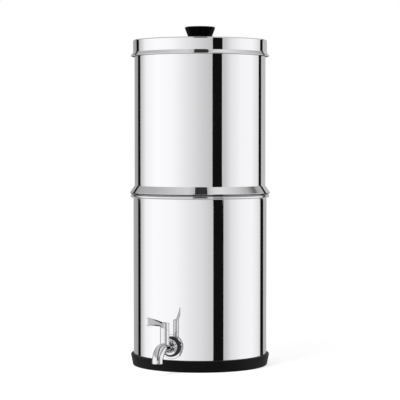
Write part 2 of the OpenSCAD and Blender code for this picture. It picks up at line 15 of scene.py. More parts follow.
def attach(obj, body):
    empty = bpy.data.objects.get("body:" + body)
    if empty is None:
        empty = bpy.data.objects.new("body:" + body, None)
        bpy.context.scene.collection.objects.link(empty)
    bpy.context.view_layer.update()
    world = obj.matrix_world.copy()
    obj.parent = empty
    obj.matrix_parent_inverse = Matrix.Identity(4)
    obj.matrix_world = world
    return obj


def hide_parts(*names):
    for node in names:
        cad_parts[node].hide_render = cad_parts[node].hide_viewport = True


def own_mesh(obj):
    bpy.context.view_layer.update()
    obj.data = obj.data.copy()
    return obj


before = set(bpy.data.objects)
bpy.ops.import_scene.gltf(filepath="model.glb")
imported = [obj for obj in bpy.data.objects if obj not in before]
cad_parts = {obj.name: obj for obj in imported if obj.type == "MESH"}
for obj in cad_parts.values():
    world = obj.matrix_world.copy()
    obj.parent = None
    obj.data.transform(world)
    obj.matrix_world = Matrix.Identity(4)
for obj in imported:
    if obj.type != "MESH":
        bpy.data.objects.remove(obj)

LOG = logging.getLogger("water_filter")

# Sizes are in millimetres up to the point where a mesh is made, which takes metres.
MM = 0.001
SHEET = 0.8  # the steel sheet's thickness
GAP = 0.05  # between pieces that touch
PLAY = 0.15  # round what goes through a bore, and between the cam's two slopes
EASE = 0.4  # how far the points that keep a wall true stand from its ends
CREASE = 32.0  # degrees from which an edge stays sharp
THREAD_DEPTH = 0.42  # radius of a thread's ridge, as a share of its pitch
PATTERN = (0.3, 0.7)  # what a noise pattern mostly runs between
QUARTER = math.pi / 2
CHAMFER = 0.58  # fall of a nut's chamfer for each unit across

Point = tuple[float, float]
Line = list[Point]
Color = tuple[float, float, float]


class Body(str, Enum):
    """The moving groups that the new pieces belong to."""

    LOWER = "lower_unit"
    LEVER = "lever"
    UPPER = "upper_unit"
    LID = "lid_unit"


class Turned(int, Enum):
    """How many facets go round a turned form."""

    LARGE = 256
    MIDDLE = 128
    SMALL = 64


# ---------------------------------------------------------------- outlines


def arc(x: float, y: float, r: float, start: float, end: float, steps: int = 14) -> Line:
    """Gives points on an arc.

    Args:
        x: Centre across.
        y: Centre up.
        r: Radius.
        start: First angle in degrees.
        end: Last angle in degrees.
        steps: How many chords make the arc.

    Returns:
        The points from the first angle to the last.
    """
    angles = [math.radians(start + (end - start) * i / steps) for i in range(steps + 1)]
    return [(x + r * math.cos(a), y + r * math.sin(a)) for a in angles]


def bend(p: Point, q: Point, r: Point, steps: int = 20) -> Line:
    """Gives points on the quadratic curve from p to r that leaves p towards q.

    Args:
        p: First point.
        q: Point that the curve leaves towards.
        r: Last point.
        steps: How many chords make it.

    Returns:
        The points from the first to the last.
    """
    line = []
    for i in range(steps + 1):
        t = i / steps
        a, b, c = (1 - t) ** 2, 2 * t * (1 - t), t * t
        line.append((p[0] * a + q[0] * b + r[0] * c, p[1] * a + q[1] * b + r[1] * c))
    return line


def left_of(p: Point, q: Point) -> Point:
    """Gives the unit vector to the left of a step from p to q.

    Args:
        p: First point.
        q: Second point.

    Returns:
        The vector.
    """
    dx, dy = q[0] - p[0], q[1] - p[1]
    length = math.hypot(dx, dy)
    return -dy / length, dx / length


def moved(line: Line, t: float) -> Line:
    """Moves a line to its left by a distance, with mitred corners.

    Args:
        line: The line.
        t: The distance.

    Returns:
        The moved line.
    """
    last = len(line) - 1
    result = []
    for i, (x, y) in enumerate(line):
        before = left_of(line[max(i - 1, 0)], line[max(i, 1)])
        after = left_of(line[min(i, last - 1)], line[min(i + 1, last)])
        both = before[0] + after[0], before[1] + after[1]
        scale = 2 * t / (both[0] ** 2 + both[1] ** 2)
        result.append((x + both[0] * scale, y + both[1] * scale))
    return result


def eased(line: Line) -> Line:
    """Adds points near both ends of each long run, so that it reflects as a flat or true wall.

    Args:
        line: The line.

    Returns:
        The line with the added points.
    """
    result = [line[0]]
    for p, q in zip(line, line[1:]):
        length = math.dist(p, q)
        if length > 6 * EASE:
            share = EASE / length
            for t in (share, 1 - share):
                result.append((p[0] + (q[0] - p[0]) * t, p[1] + (q[1] - p[1]) * t))
        result.append(q)
    return result


def sheet_profile(line: Line) -> Line:
    """Gives a spun sheet's outline from its left face, which starts on the axis."""
    return line + moved(line, -SHEET)[::-1]


def closed(line: Line) -> Line:
    """Gives the outline of a ring, with its first point again at the end."""
    return [*line, line[0]]


def washer(bore: float, r: float, low: float, high: float, edge: float, steps: int = 5) -> Line:
    """Gives the section of a flat ring with rounded outer edges.

    Args:
        bore: Radius of its hole.
        r: Outer radius.
        low: Lower face.
        high: Upper face.
        edge: Radius of the edges.
        steps: How many chords make an edge.

    Returns:
        The closed outline.
    """
    lower = arc(r - edge, low + edge, edge, -90, 0, steps)
    upper = arc(r - edge, high - edge, edge, 0, 90, steps)
    return closed([(bore, low), *lower, *upper, (bore, high)])


# ---------------------------------------------------------------- meshes


def placed(name: str, mesh: Mesh) -> Object:
    """Puts a mesh in the scene as an object at the origin.

    Args:
        name: Name of the object.
        mesh: Its mesh.

    Returns:
        The object.
    """
    obj = bpy.data.objects.new(name, mesh)
    bpy.context.scene.collection.objects.link(obj)
    return obj


def kept(name: str, bm: bmesh.types.BMesh) -> Object:
    """Turns a construction mesh into an object at the origin.

    Args:
        name: Name of the object.
        bm: The construction mesh, which is freed.

    Returns:
        The object.
    """
    mesh = bpy.data.meshes.new(name)
    bm.to_mesh(mesh)
    bm.free()
    return placed(name, mesh)


def applied(obj: Object) -> Object:
    """Turns an object's modifiers into plain mesh.

    Args:
        obj: The object.

    Returns:
        The same object.
    """
    bpy.context.view_layer.update()
    graph = bpy.context.evaluated_depsgraph_get()
    mesh = bpy.data.meshes.new_from_object(obj.evaluated_get(graph), depsgraph=graph)
    obj.modifiers.clear()
    obj.data = mesh
    return obj


def grown(name: str, mesh: Mesh, tree: NodeTree, **inputs: Any) -> Object:
    """Runs a geometry tree on a mesh and keeps the result as a plain mesh.

    Args:
        name: Name of the new object.
        mesh: What the tree starts from.
        tree: The geometry tree.
        **inputs: Values by input name, with underscores for spaces.

    Returns:
        The object.
    """
    obj = placed(name, mesh)
    modifier = obj.modifiers.new("Form", "NODES")
    modifier.node_group = tree
    for item in tree.interface.items_tree:
        value = inputs.get(item.name.replace(" ", "_"))
        if item.item_type == "SOCKET" and item.in_out == "INPUT" and value is not None:
            modifier[item.identifier] = value
    return applied(obj)


def tidied(obj: Object, crease: float = CREASE) -> Object:
    """Merges doubles, turns the faces outwards and shades them smooth up to a crease angle.

    Args:
        obj: The object.
        crease: The angle, in degrees.

    Returns:
        The same object.
    """
    near = 1e-7
    bm = bmesh.new()
    bm.from_mesh(obj.data)
    bmesh.ops.remove_doubles(bm, verts=bm.verts, dist=near)
    bmesh.ops.dissolve_degenerate(bm, edges=bm.edges, dist=near)
    bmesh.ops.recalc_face_normals(bm, faces=bm.faces)
    bm.to_mesh(obj.data)
    bm.free()
    obj.data.shade_smooth()
    obj.data.set_sharp_from_angle(angle=math.radians(crease))
    return obj


def joined(name: str, parts: Sequence[Object]) -> Object:
    """Makes one object of several, which are removed. It takes the first one's finish.

    Args:
        name: Name of the object.
        parts: The objects.

    Returns:
        The new object.
    """
    bm = bmesh.new()
    for part in parts:
        bm.from_mesh(part.data)
    for face in bm.faces:
        face.material_index = 0
    whole = kept(name, bm)
    for finish in [material for material in parts[0].data.materials if material][:1]:
        whole.data.materials.append(finish)
    for part in parts:
        bpy.data.objects.remove(part)
    return whole


def lofted(name: str, rings: Sequence[Sequence[Vector]], turn: Matrix = Matrix()) -> Object:
    """Skins a row of rings with equal numbers of points and closes both ends.

    Args:
        name: Name of the object.
        rings: Points of each ring, in millimetres.
        turn: Where the form goes, in metres.

    Returns:
        The object.
    """
    bm = bmesh.new()
    rows = [[bm.verts.new(point * MM) for point in ring] for ring in rings]
    for near, far in zip(rows, rows[1:]):
        for i in range(len(near)):
            j = (i + 1) % len(near)
            bm.faces.new((near[i], near[j], far[j], far[i]))
    bm.faces.new(rows[0][::-1])
    bm.faces.new(rows[-1])
    bmesh.ops.recalc_face_normals(bm, faces=bm.faces)
    bmesh.ops.transform(bm, matrix=turn, verts=bm.verts)
    return kept(name, bm)


def prism(name: str, outline: Line, low: float, high: float, turn: Matrix) -> Object:
    """Extrudes an outline in the XY plane between two heights and places it."""
    return lofted(name, [[Vector((x, y, z)) for x, y in outline] for z in (low, high)], turn)


def carved(obj: Object, tools: Iterable[Object], how: str = "DIFFERENCE") -> Object:
    """Cuts an object with others, which are removed.

    Args:
        obj: The object.
        tools: The objects that cut it.
        how: What is done with them.

    Returns:
        The same object.
    """
    for tool in tools:
        cut = obj.modifiers.new("Cut", "BOOLEAN")
        cut.operation = how
        cut.solver = "EXACT"
        cut.object = tool
        applied(obj)
        bpy.data.objects.remove(tool)
    return obj


def cast(obj: Object, grain: float, rounds: int, material: Material) -> Object:
    """Melts overlapping closed forms into one skin with soft corners, as in a polished casting.

    Args:
        obj: The object.
        grain: Size of the new mesh's faces.
        rounds: How often the skin is smoothed.
        material: The finish that it gets.

    Returns:
        The same object.
    """
    melt = obj.modifiers.new("Melt", "REMESH")
    melt.mode = "VOXEL"
    melt.voxel_size = grain * MM
    melt.adaptivity = 0
    soften = obj.modifiers.new("Soften", "SMOOTH")
    soften.factor = 0.5
    soften.iterations = rounds
    applied(obj)
    obj.data.materials.clear()
    obj.data.materials.append(material)
    obj.data.shade_smooth()
    return obj


# ---------------------------------------------------------------- node trees


class NodeKit:
    """A node tree under construction."""

    def __init__(self, tree: NodeTree) -> None:
        """Takes the tree that the nodes go into."""
        self.tree = tree

    def node(self, kind: str, values: dict[int | str, Any] | None = None, **settings: Any) -> Node:
        """Adds a node.

        Args:
            kind: The node's type.
            values: What goes into its inputs, which is a socket to link or a plain value.
            **settings: Properties of the node.

        Returns:
            The node.
        """
        node = self.tree.nodes.new(kind)
        for key, value in settings.items():
            setattr(node, key, value)
        for key, value in (values or {}).items():
            if isinstance(value, NodeSocket):
                self.tree.links.new(value, node.inputs[key])
            else:
                node.inputs[key].default_value = value
        return node

    def out(self, kind: str, values: dict[int | str, Any] | None = None, **settings: Any) -> NodeSocket:
        """Adds a node and gives its first output."""
        return self.node(kind, values, **settings).outputs[0]

    def math(self, operation: str, *terms: Any) -> NodeSocket:
        """Adds a math node and gives its result."""
        return self.out("ShaderNodeMath", dict(enumerate(terms)), operation=operation)

    def vector(self, operation: str, *terms: Any) -> NodeSocket:
        """Adds a vector math node and gives its plain number."""
        values = dict(enumerate(terms))
        return self.node("ShaderNodeVectorMath", values, operation=operation).outputs["Value"]

    def between(self, value: NodeSocket, start: Any, end: Any) -> NodeSocket:
        """Adds a test that is 1 where a value lies between two others."""
        above, below = self.math("GREATER_THAN", value, start), self.math("LESS_THAN", value, end)
        return self.math("MULTIPLY", above, below)


class GeometryTree(NodeKit):
    """A geometry node tree under construction."""

    def __init__(self, name: str, **inputs: str) -> None:
        """Starts a tree.

        Args:
            name: Name of the tree.
            **inputs: Kind of each input after the geometry, with underscores for spaces in its name.
        """
        super().__init__(bpy.data.node_groups.new(name, "GeometryNodeTree"))
        face = self.tree.interface
        face.new_socket("Base", in_out="INPUT", socket_type="NodeSocketGeometry")
        for label, kind in inputs.items():
            face.new_socket(label.replace("_", " "), in_out="INPUT", socket_type="NodeSocket" + kind)
        face.new_socket("Form", in_out="OUTPUT", socket_type="NodeSocketGeometry")
        self.base, *self.inputs = list(self.node("NodeGroupInput").outputs)[: len(inputs) + 1]

    def close(self, geometry: NodeSocket, material: NodeSocket) -> NodeTree:
        """Ends the tree in plain geometry with its finish.

        Args:
            geometry: What the tree makes.
            material: Its finish.

        Returns:
            The tree.
        """
        real = self.out("GeometryNodeRealizeInstances", {0: geometry})
        smooth = self.out("GeometryNodeSetShadeSmooth", {0: real})
        finish = self.out("GeometryNodeSetMaterial", {"Geometry": smooth, "Material": material})
        self.node("NodeGroupOutput", {0: finish})
        return self.tree


def spun_tree() -> NodeTree:
    """Gives the tree that turns a profile in the XZ plane once round the Z axis.

    Returns:
        The tree.
    """
    label = "Spun form"
    if label in bpy.data.node_groups:
        return bpy.data.node_groups[label]
    t = GeometryTree(label, Facets="Int", Finish="Material")
    facets, finish = t.inputs
    size = t.node("GeometryNodeAttributeDomainSize", {0: t.base}, component="MESH")
    columns = t.math("ADD", facets, 1.0)
    grid = t.out("GeometryNodeMeshGrid", {"Vertices X": size.outputs["Point Count"], "Vertices Y": columns})
    index = t.out("GeometryNodeInputIndex")
    row = t.math("FLOOR", t.math("DIVIDE", t.math("ADD", index, 0.5), columns))
    column = t.math("SUBTRACT", index, t.math("MULTIPLY", row, columns))
    source = {"Geometry": t.base, "Index": row}
    sample = t.node("GeometryNodeSampleIndex", source, data_type="FLOAT_VECTOR", domain="POINT")
    place = t.out("GeometryNodeInputPosition")
    t.tree.links.new(place, next(s for s in sample.inputs if s.name == "Value" and s.enabled))
    point = t.node("ShaderNodeSeparateXYZ", {0: sample.outputs[0]}).outputs
    angle = t.math("MULTIPLY", t.math("DIVIDE", column, facets), 2 * math.pi)
    x, y = (t.math("MULTIPLY", point[0], t.math(way, angle)) for way in ("COSINE", "SINE"))
    round_point = t.out("ShaderNodeCombineXYZ", {0: x, 1: y, 2: point[2]})
    form = t.out("GeometryNodeSetPosition", {"Geometry": grid, "Position": round_point})
    whole = t.out("GeometryNodeMergeByDistance", {"Geometry": form, "Distance": 1e-6})
    return t.close(whole, finish)


def thread_tree() -> NodeTree:
    """Gives the tree that winds a thread or a wire up the Z axis from the origin.

    Returns:
        The tree.
    """
    label = "Screw thread"
    if label in bpy.data.node_groups:
        return bpy.data.node_groups[label]
    sizes = dict.fromkeys(("Turns", "Crest_radius", "Height", "Ridge"), "Float")
    t = GeometryTree(label, **sizes, Sides="Int", Finish="Material")
    turns, crest, height, ridge, sides, finish = t.inputs
    middle = t.math("SUBTRACT", crest, ridge)
    path = {"Resolution": 32, "Rotations": turns, "Start Radius": middle, "End Radius": middle}
    line = t.out("GeometryNodeCurveSpiral", {**path, "Height": height})
    shape = {"Resolution": sides, "Radius": ridge}
    section = t.out("GeometryNodeCurvePrimitiveCircle", shape, mode="RADIUS")
    skin = t.out("GeometryNodeCurveToMesh", {"Curve": line, "Profile Curve": section, "Fill Caps": True})
    return t.close(skin, finish)


def grip_tree() -> NodeTree:
    """Gives the tree that stands upright ribs round the Z axis.

    Returns:
        The tree.
    """
    label = "Grip ribs"
    if label in bpy.data.node_groups:
        return bpy.data.node_groups[label]
    t = GeometryTree(label, Ribs="Int", Ring_radius="Float", Rib_size="Vector", Finish="Material")
    ribs, ring, size, finish = t.inputs
    circle = t.out("GeometryNodeMeshCircle", {"Vertices": ribs, "Radius": ring})
    cube = t.out("GeometryNodeMeshCube", {"Size": size})
    share = t.math("DIVIDE", t.out("GeometryNodeInputIndex"), ribs)
    turn = t.out("ShaderNodeCombineXYZ", {2: t.math("MULTIPLY", share, 2 * math.pi)})
    copies = t.out("GeometryNodeInstanceOnPoints", {"Points": circle, "Instance": cube, "Rotation": turn})
    return t.close(copies, finish)


# ---------------------------------------------------------------- forms


def spun(
    name: str,
    outline: Line,
    material: Material,
    facets: Turned = Turned.LARGE,
    turn: Matrix = Matrix(),
    crease: float = CREASE,
) -> Object:
    """Turns an outline into a closed round form.

    Args:
        name: Name of the object.
        outline: Radius and height of each point.
        material: The finish.
        facets: How many facets go round.
        turn: Where the form goes, in metres.
        crease: Angle in degrees from which an edge stays sharp.

    Returns:
        The object.
    """
    line = eased(outline)
    mesh = bpy.data.meshes.new(name)
    steps = [(i, i + 1) for i in range(len(line) - 1)]
    mesh.from_pydata([(r * MM, 0.0, z * MM) for r, z in line], steps, [])
    obj = tidied(grown(name, mesh, spun_tree(), Facets=int(facets), Finish=material), crease)
    obj.data.transform(turn)
    return obj


@dataclass(frozen=True)
class Winding:
    """What is wound round the Z axis: a thread's ridge or a spring's wire.

    Attributes:
        crest: Outer radius of the whole.
        low: Where it starts.
        high: Where it ends.
        pitch: Rise for each turn.
        ridge: Radius of the section.
        sides: Corners of the section.
        crease: Angle in degrees from which its edges stay sharp.
    """

    crest: float
    low: float
    high: float
    pitch: float
    ridge: float
    sides: int = 4
    crease: float = 25.0

    def build(self, name: str, material: Material) -> Object:
        """Makes the wound piece.

        Args:
            name: Name of the object.
            material: The finish.

        Returns:
            The object.
        """
        rise = self.high - self.low - 2 * self.ridge
        obj = grown(
            name,
            bpy.data.meshes.new(name),
            thread_tree(),
            Turns=rise / self.pitch,
            Crest_radius=self.crest * MM,
            Height=rise * MM,
            Ridge=self.ridge * MM,
            Sides=self.sides,
            Finish=material,
        )
        obj.data.transform(Matrix.Translation((0, 0, (self.low + self.ridge) * MM)))
        return tidied(obj, self.crease)


def threaded(name: str, crest: float, low: float, high: float, pitch: float, material: Material) -> Object:
    """Winds a thread of the usual depth round the Z axis.

    Args:
        name: Name of the object.
        crest: Outer radius.
        low: Where the thread starts.
        high: Where it ends.
        pitch: Rise for each turn.
        material: The finish.

    Returns:
        The object.
    """
    return Winding(crest, low, high, pitch, pitch * THREAD_DEPTH).build(name, material)


def hex_nut(name: str, flats: float, bore: float, low: float, high: float, material: Material) -> Object:
    """Makes a chamfered hexagon nut on the Z axis.

    Args:
        name: Name of the object.
        flats: Width across the flats.
        bore: Radius of the bore.
        low: Lower face.
        high: Upper face.
        material: The finish.

    Returns:
        The object.
    """
    half = flats / 2
    corner = half / math.cos(math.pi / 6)
    block = prism(name, arc(0, 0, corner, 0, 300, 5), low, high, Matrix())
    block.data.materials.append(material)
    drop = (corner - half) * CHAMFER
    past, clear = 0.01, 0.1
    low, high, wide = low - past, high + past, corner + clear
    rim = [(half, low), (wide, low + past + drop), (wide, high - past - drop), (half, high)]
    ring = closed([*rim, (bore, high), (bore, low)])
    carved(block, [spun(name + "_rim", ring, material, Turned.MIDDLE)], "INTERSECT")
    return tidied(block, 20.0)


def dressed(obj: Object, body: Body, slot: str, *nodes: str) -> Object:
    """Parents a finished piece to its moving group and hides the solids that it stands for.

    Args:
        obj: The piece.
        body: The group that it moves with.
        slot: The record's material slot; not used.
        *nodes: The solids that it replaces.

    Returns:
        The piece.
    """
    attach(obj, body.value)
    if nodes:
        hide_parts(*nodes)
    count = len(obj.data.polygons)
    LOG.info("%s: %d faces, moves with %s, stands for %s", obj.name, count, body.value, ", ".join(nodes))
    return obj


def refinished(material: Material, *nodes: str) -> None:
    """Gives solids that stay in view a better finish.

    Args:
        material: The finish.
        *nodes: Names of the solids.
    """
    for node in nodes:
        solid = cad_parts[node]
        solid.data.materials.clear()
        solid.data.materials.append(material)
        LOG.info("%s keeps its solid and takes %s", node, material.name)


# ---------------------------------------------------------------- finishes


class Shading(NodeKit):
    """A node material under construction, with one Principled shader."""

    def __init__(self, name: str) -> None:
        """Starts a material.

        Args:
            name: Name of the material.
        """
        self.material = bpy.data.materials.new(name)
        self.material.use_nodes = True
        super().__init__(self.material.node_tree)
        self.shader = self.tree.nodes["Principled BSDF"]
        self.place = self.node("ShaderNodeTexCoord").outputs["Object"]

    def noise(self, vector: Any, scale: float, detail: float = 3.0, roughness: float = 0.55) -> NodeSocket:
        """Adds a noise pattern and gives its value."""
        values = {"Vector": vector, "Scale": scale, "Detail": detail, "Roughness": roughness}
        return self.out("ShaderNodeTexNoise", values)

    def spread(self, value: NodeSocket, low: float, high: float) -> NodeSocket:
        """Maps a pattern's value to a range."""
        return self.out("ShaderNodeMapRange", {0: value, 1: PATTERN[0], 2: PATTERN[1], 3: low, 4: high})

    def mixed(self, factor: NodeSocket, a: NodeSocket, b: NodeSocket) -> NodeSocket:
        """Gives the first value where a factor is 0 and the second where it is 1."""
        return self.out("ShaderNodeMix", {0: factor, 2: a, 3: b}, data_type="FLOAT")

    def stretched(self, *across: float) -> NodeSocket:
        """Gives the object's coordinates scaled by three factors."""
        return self.out("ShaderNodeMapping", {"Vector": self.place, "Scale": across})

    def polar(self) -> tuple[NodeSocket, NodeSocket]:
        """Gives the distance from the Z axis and the height."""
        x, y, z = self.node("ShaderNodeSeparateXYZ", {0: self.place}).outputs
        return self.vector("LENGTH", self.out("ShaderNodeCombineXYZ", {0: x, 1: y})), z

    def rings(self, pitch: float) -> NodeSocket:
        """Gives coordinates that change only along the radius and the height, as a lathe's marks do.

        Args:
            pitch: How many cells fit in a metre.

        Returns:
            The coordinates.
        """
        across, up = (self.math("MULTIPLY", way, pitch) for way in self.polar())
        return self.out("ShaderNodeCombineXYZ", {0: across, 2: up})

    def bump(self, height: NodeSocket, depth: float, strength: float = 1.0) -> None:
        """Raises the surface by a pattern, to a depth in millimetres."""
        values = {"Height": height, "Distance": depth * MM, "Strength": strength}
        self.vary("Normal", self.out("ShaderNodeBump", values))

    def tint(self, factor: NodeSocket, first: Sequence[float], second: Sequence[float]) -> None:
        """Varies the colour between two tones.

        Args:
            factor: Share of the second tone.
            first: The first tone.
            second: The second tone.
        """
        mix = self.node("ShaderNodeMix", {0: factor}, data_type="RGBA")
        a, b = [s for s in mix.inputs if s.type == "RGBA"]
        a.default_value, b.default_value = (*first, 1), (*second, 1)
        self.vary("Base Color", next(s for s in mix.outputs if s.type == "RGBA"))

    def set(self, **values: Any) -> None:
        """Sets constants on the shader's own sockets, with underscores for spaces."""
        for key, value in values.items():
            self.shader.inputs[key.replace("_", " ")].default_value = value

    def vary(self, socket: str, value: NodeSocket) -> None:
        """Lets a pattern drive one socket of the shader."""
        self.tree.links.new(value, self.shader.inputs[socket])


@dataclass(frozen=True)
class Finish:
    """What all finishes share."""

    name: str

    def paint(self, s: Shading) -> None:
        """Sets up the shader, which each kind of finish does in its own way."""
        raise NotImplementedError

    def material(self) -> Material:
        """Builds the material.

        Returns:
            The material.
        """
        s = Shading(self.name)
        self.paint(s)
        return s.material


@dataclass(frozen=True)
class MirrorSteel(Finish):
    """Spun steel polished to a mirror outside and satin inside, with a band between two heights that is
    rougher and painted dark as painted shade.
    """

    inside_r: float
    inside_top: float = 1000.0
    shade_band_from: float = -1.0
    shade_band_to: float = -1.0
    color: Color = (0.87, 0.87, 0.885)
    # Colour of the band between the two heights: painted shade, much darker than the steel itself.
    painted_shade_color: Color = (0.1, 0.1, 0.105)
    shade_band_roughness: float = 0.5

    def paint(self, s: Shading) -> None:
        """Sets up the lathe's lines, the wiping marks and the three surfaces: mirror outside, satin inside,
        and the rough band of painted shade.

        Args:
            s: The material under construction.
        """
        s.set(Metallic=1.0)
        radius, z = s.polar()
        within = s.math("LESS_THAN", radius, self.inside_r * MM)
        inside = s.math("MULTIPLY", within, s.math("LESS_THAN", z, self.inside_top * MM))
        lines = s.noise(s.rings(1400.0), 1.0, 2.0)
        wiped = s.noise(s.stretched(9.0, 9.0, 14.0), 1.0, 4.0)
        polished = s.math("ADD", s.spread(lines, 0.018, 0.034), s.spread(wiped, 0.0, 0.022))
        both = s.mixed(inside, polished, s.spread(lines, 0.24, 0.36))
        # Between these heights the steel is left rough and its colour turns dark: painted shade for the gap
        # between the collar's lip and the bead.
        shade_band = s.between(z, self.shade_band_from * MM, self.shade_band_to * MM)
        s.vary("Roughness", s.math("MAXIMUM", both, s.math("MULTIPLY", shade_band, self.shade_band_roughness)))
        s.tint(shade_band, self.color, self.painted_shade_color)
        s.bump(lines, 0.0012)


@dataclass(frozen=True)
class CastSteel(Finish):
    """Steel cast or forged and polished by hand, with satin hollows in upright sides within a width."""

    color: Color = (0.82, 0.82, 0.835)
    hollow_x: float = 0.0
    hollow_facing: float = 0.6

    def paint(self, s: Shading) -> None:
        """Sets up the haze and swirls of the polish, and the hollows.

        Args:
            s: The material under construction.
        """
        s.set(Base_Color=(*self.color, 1), Metallic=1.0)
        haze = s.noise(s.place, 160.0, 4.0)
        swirl = s.noise(s.stretched(900.0, 120.0, 900.0), 1.0, 2.0)
        polished = s.math("ADD", s.spread(haze, 0.02, 0.045), s.spread(swirl, 0.0, 0.02))
        x = s.out("ShaderNodeSeparateXYZ", {0: s.place})
        side = s.out("ShaderNodeSeparateXYZ", {0: s.node("ShaderNodeTexCoord").outputs["Normal"]})
        within = s.math("LESS_THAN", s.math("ABSOLUTE", x), self.hollow_x * MM)
        upright = s.math("GREATER_THAN", s.math("ABSOLUTE", side), self.hollow_facing)
        hollow = s.math("MULTIPLY", within, upright)
        s.vary("Roughness", s.mixed(hollow, polished, s.spread(haze, 0.52, 0.66)))
        s.bump(s.noise(s.place, 420.0, 2.0), 0.006, 0.4)


@dataclass(frozen=True)
class TurnedMetal(Finish):
    """Bar metal straight from the lathe, with its fine tool marks."""

    color: Color = (0.62, 0.62, 0.63)
    roughness: float = 0.28

    def paint(self, s: Shading) -> None:
        """Sets up the tool marks and faint patches.

        Args:
            s: The material under construction.
        """
        s.set(Metallic=1.0)
        marks = s.noise(s.stretched(300.0, 300.0, 5000.0), 1.0, 2.0)
        patches = s.noise(s.place, 240.0, 3.0)
        s.tint(s.spread(patches, 0.0, 1.0), [c * 0.88 for c in self.color], self.color)
        s.vary("Roughness", s.spread(marks, self.roughness - 0.06, self.roughness + 0.08))
        s.bump(marks, 0.01, 0.6)


@dataclass(frozen=True)
class Rubber(Finish):
    """Moulded black rubber with a fine skin and a faint bloom."""

    color: Color
    roughness: float
    specular: float = 0.45
    bloom: float = 1.5

    def paint(self, s: Shading) -> None:
        """Sets up the skin's grain and the bloom's clouds.

        Args:
            s: The material under construction.
        """
        grain = s.noise(s.place, 3800.0, 3.0, 0.6)
        cloud = s.noise(s.place, 22.0, 5.0)
        s.tint(s.spread(cloud, 0.0, 1.0), self.color, [c * self.bloom for c in self.color])
        broad = s.spread(cloud, self.roughness - 0.04, self.roughness + 0.06)
        s.vary("Roughness", s.math("ADD", broad, s.spread(grain, -0.03, 0.05)))
        s.bump(grain, 0.03, 0.7)
        s.set(Specular_IOR_Level=self.specular)


@dataclass(frozen=True)
class Moulding(Finish):
    """Injection-moulded plastic."""

    color: Color
    roughness: float
    ripple: float
    specular: float = 0.5

    def paint(self, s: Shading) -> None:
        """Sets up the flow of the plastic and the ripple of its skin.

        Args:
            s: The material under construction.
        """
        flow = s.noise(s.place, 60.0, 3.0)
        skin = s.noise(s.place, 1600.0, 2.0)
        s.tint(s.spread(flow, 0.0, 1.0), [c * 0.96 for c in self.color], self.color)
        broad = s.spread(flow, self.roughness * 0.85, self.roughness * 1.2)
        s.vary("Roughness", s.math("ADD", broad, s.spread(skin, 0.0, 0.02)))
        s.bump(skin, self.ripple, 0.4)
        s.set(IOR=1.5, Specular_IOR_Level=self.specular)


@dataclass(frozen=True)
class Carbon(Finish):
    """Pressed carbon block, matt and granular."""

    color: Color = (0.022, 0.022, 0.024)

    def paint(self, s: Shading) -> None:
        """Sets up the grains and their clumps.

        Args:
            s: The material under construction.
        """
        grains = s.node("ShaderNodeTexVoronoi", {"Vector": s.place, "Scale": 1500.0}).outputs["Distance"]
        clumps = s.noise(s.place, 420.0, 5.0, 0.65)
        s.tint(s.spread(clumps, 0.0, 1.0), [c * 0.55 for c in self.color], [c * 1.9 for c in self.color])
        s.vary("Roughness", s.spread(clumps, 0.72, 0.95))
        s.bump(s.math("ADD", grains, clumps), 0.12, 0.9)
        s.set(Specular_IOR_Level=0.3)


# ---------------------------------------------------------------- the filter


@dataclass(frozen=True)
class Vessel:
    """A spun chamber with a floor and a rim that is rolled outwards.

    Attributes:
        radius: Outer radius of its wall.
        floor_z: Underside of its floor.
        rim_z: Top of its rim.
        rim_r: Radius of the rim's roll on the inner face.
        rim_end: Angle in degrees at which the roll ends.
        rim_steps: How many chords make the roll.
        corner_r: Radius between floor and wall on the inner face.
    """

    radius: float
    floor_z: float
    rim_z: float
    rim_r: float
    rim_end: float
    rim_steps: int
    corner_r: float = 4.0

    def build(self, name: str, label: str) -> Object:
        """Makes the chamber, with a finish of the given label.

        Args:
            name: Name of the object.
            label: Name of its finish.

        Returns:
            The object.
        """
        inner = self.radius - SHEET
        floor = self.floor_z + SHEET
        line = [
            (0.0, floor),
            *arc(inner - self.corner_r, floor + self.corner_r, self.corner_r, -90, 0),
            *arc(inner + self.rim_r, self.rim_z - self.rim_r, self.rim_r, 180, self.rim_end, self.rim_steps),
        ]
        steel = MirrorSteel(label, self.radius - SHEET / 2).material()
        return spun(name, sheet_profile(line), steel)


@dataclass
class LowerUnit:
    """The rubber base ring and the lower chamber that stands in it."""

    chamber: Vessel = Vessel(108.0, 4.05, 276.55, 2.65, -110, 40)
    ring_h: float = 18.5
    ring_floor_t: float = 4.0
    ring_floor_w: float = 20.0
    ring_foot_t: float = 1.3
    ring_lip_t: float = 4.3
    ring_foot_r: float = 1.5
    ring_lip_r: float = 1.8
    ring_floor_r: float = 0.6
    ring_mouth_r: float = 0.3

    def ring_outline(self) -> Line:
        """Gives the section of the rubber ring.

        Returns:
            Radius and height of each point.
        """
        radius = self.chamber.radius
        inner = radius - self.ring_floor_w
        wall = radius + GAP
        floor_r, foot_r = self.ring_floor_r, self.ring_foot_r
        lip_r, mouth_r = self.ring_lip_r, self.ring_mouth_r
        return [
            *arc(inner + floor_r, floor_r, floor_r, 180, 270, 5),
            *arc(radius + self.ring_foot_t - foot_r, foot_r, foot_r, -90, 0),
            *arc(radius + self.ring_lip_t - lip_r, self.ring_h - lip_r, lip_r, 0, 90),
            *arc(wall + mouth_r, self.ring_h - mouth_r, mouth_r, 90, 180, 4),
            (wall, self.ring_floor_t),
            (inner, self.ring_floor_t),
        ]

    def build(self) -> None:
        """Makes the shell and the ring."""
        shell = self.chamber.build("lower_shell", "Lower chamber steel")
        dressed(shell, Body.LOWER, "shell_steel", "lower_chamber")
        rubber = Rubber("Base rubber", (0.0035, 0.0035, 0.0037), 0.46, 0.12).material()
        ring = spun("rubber_foot", closed(self.ring_outline()), rubber)
        dressed(ring, Body.LOWER, "base_rubber", "base_ring")


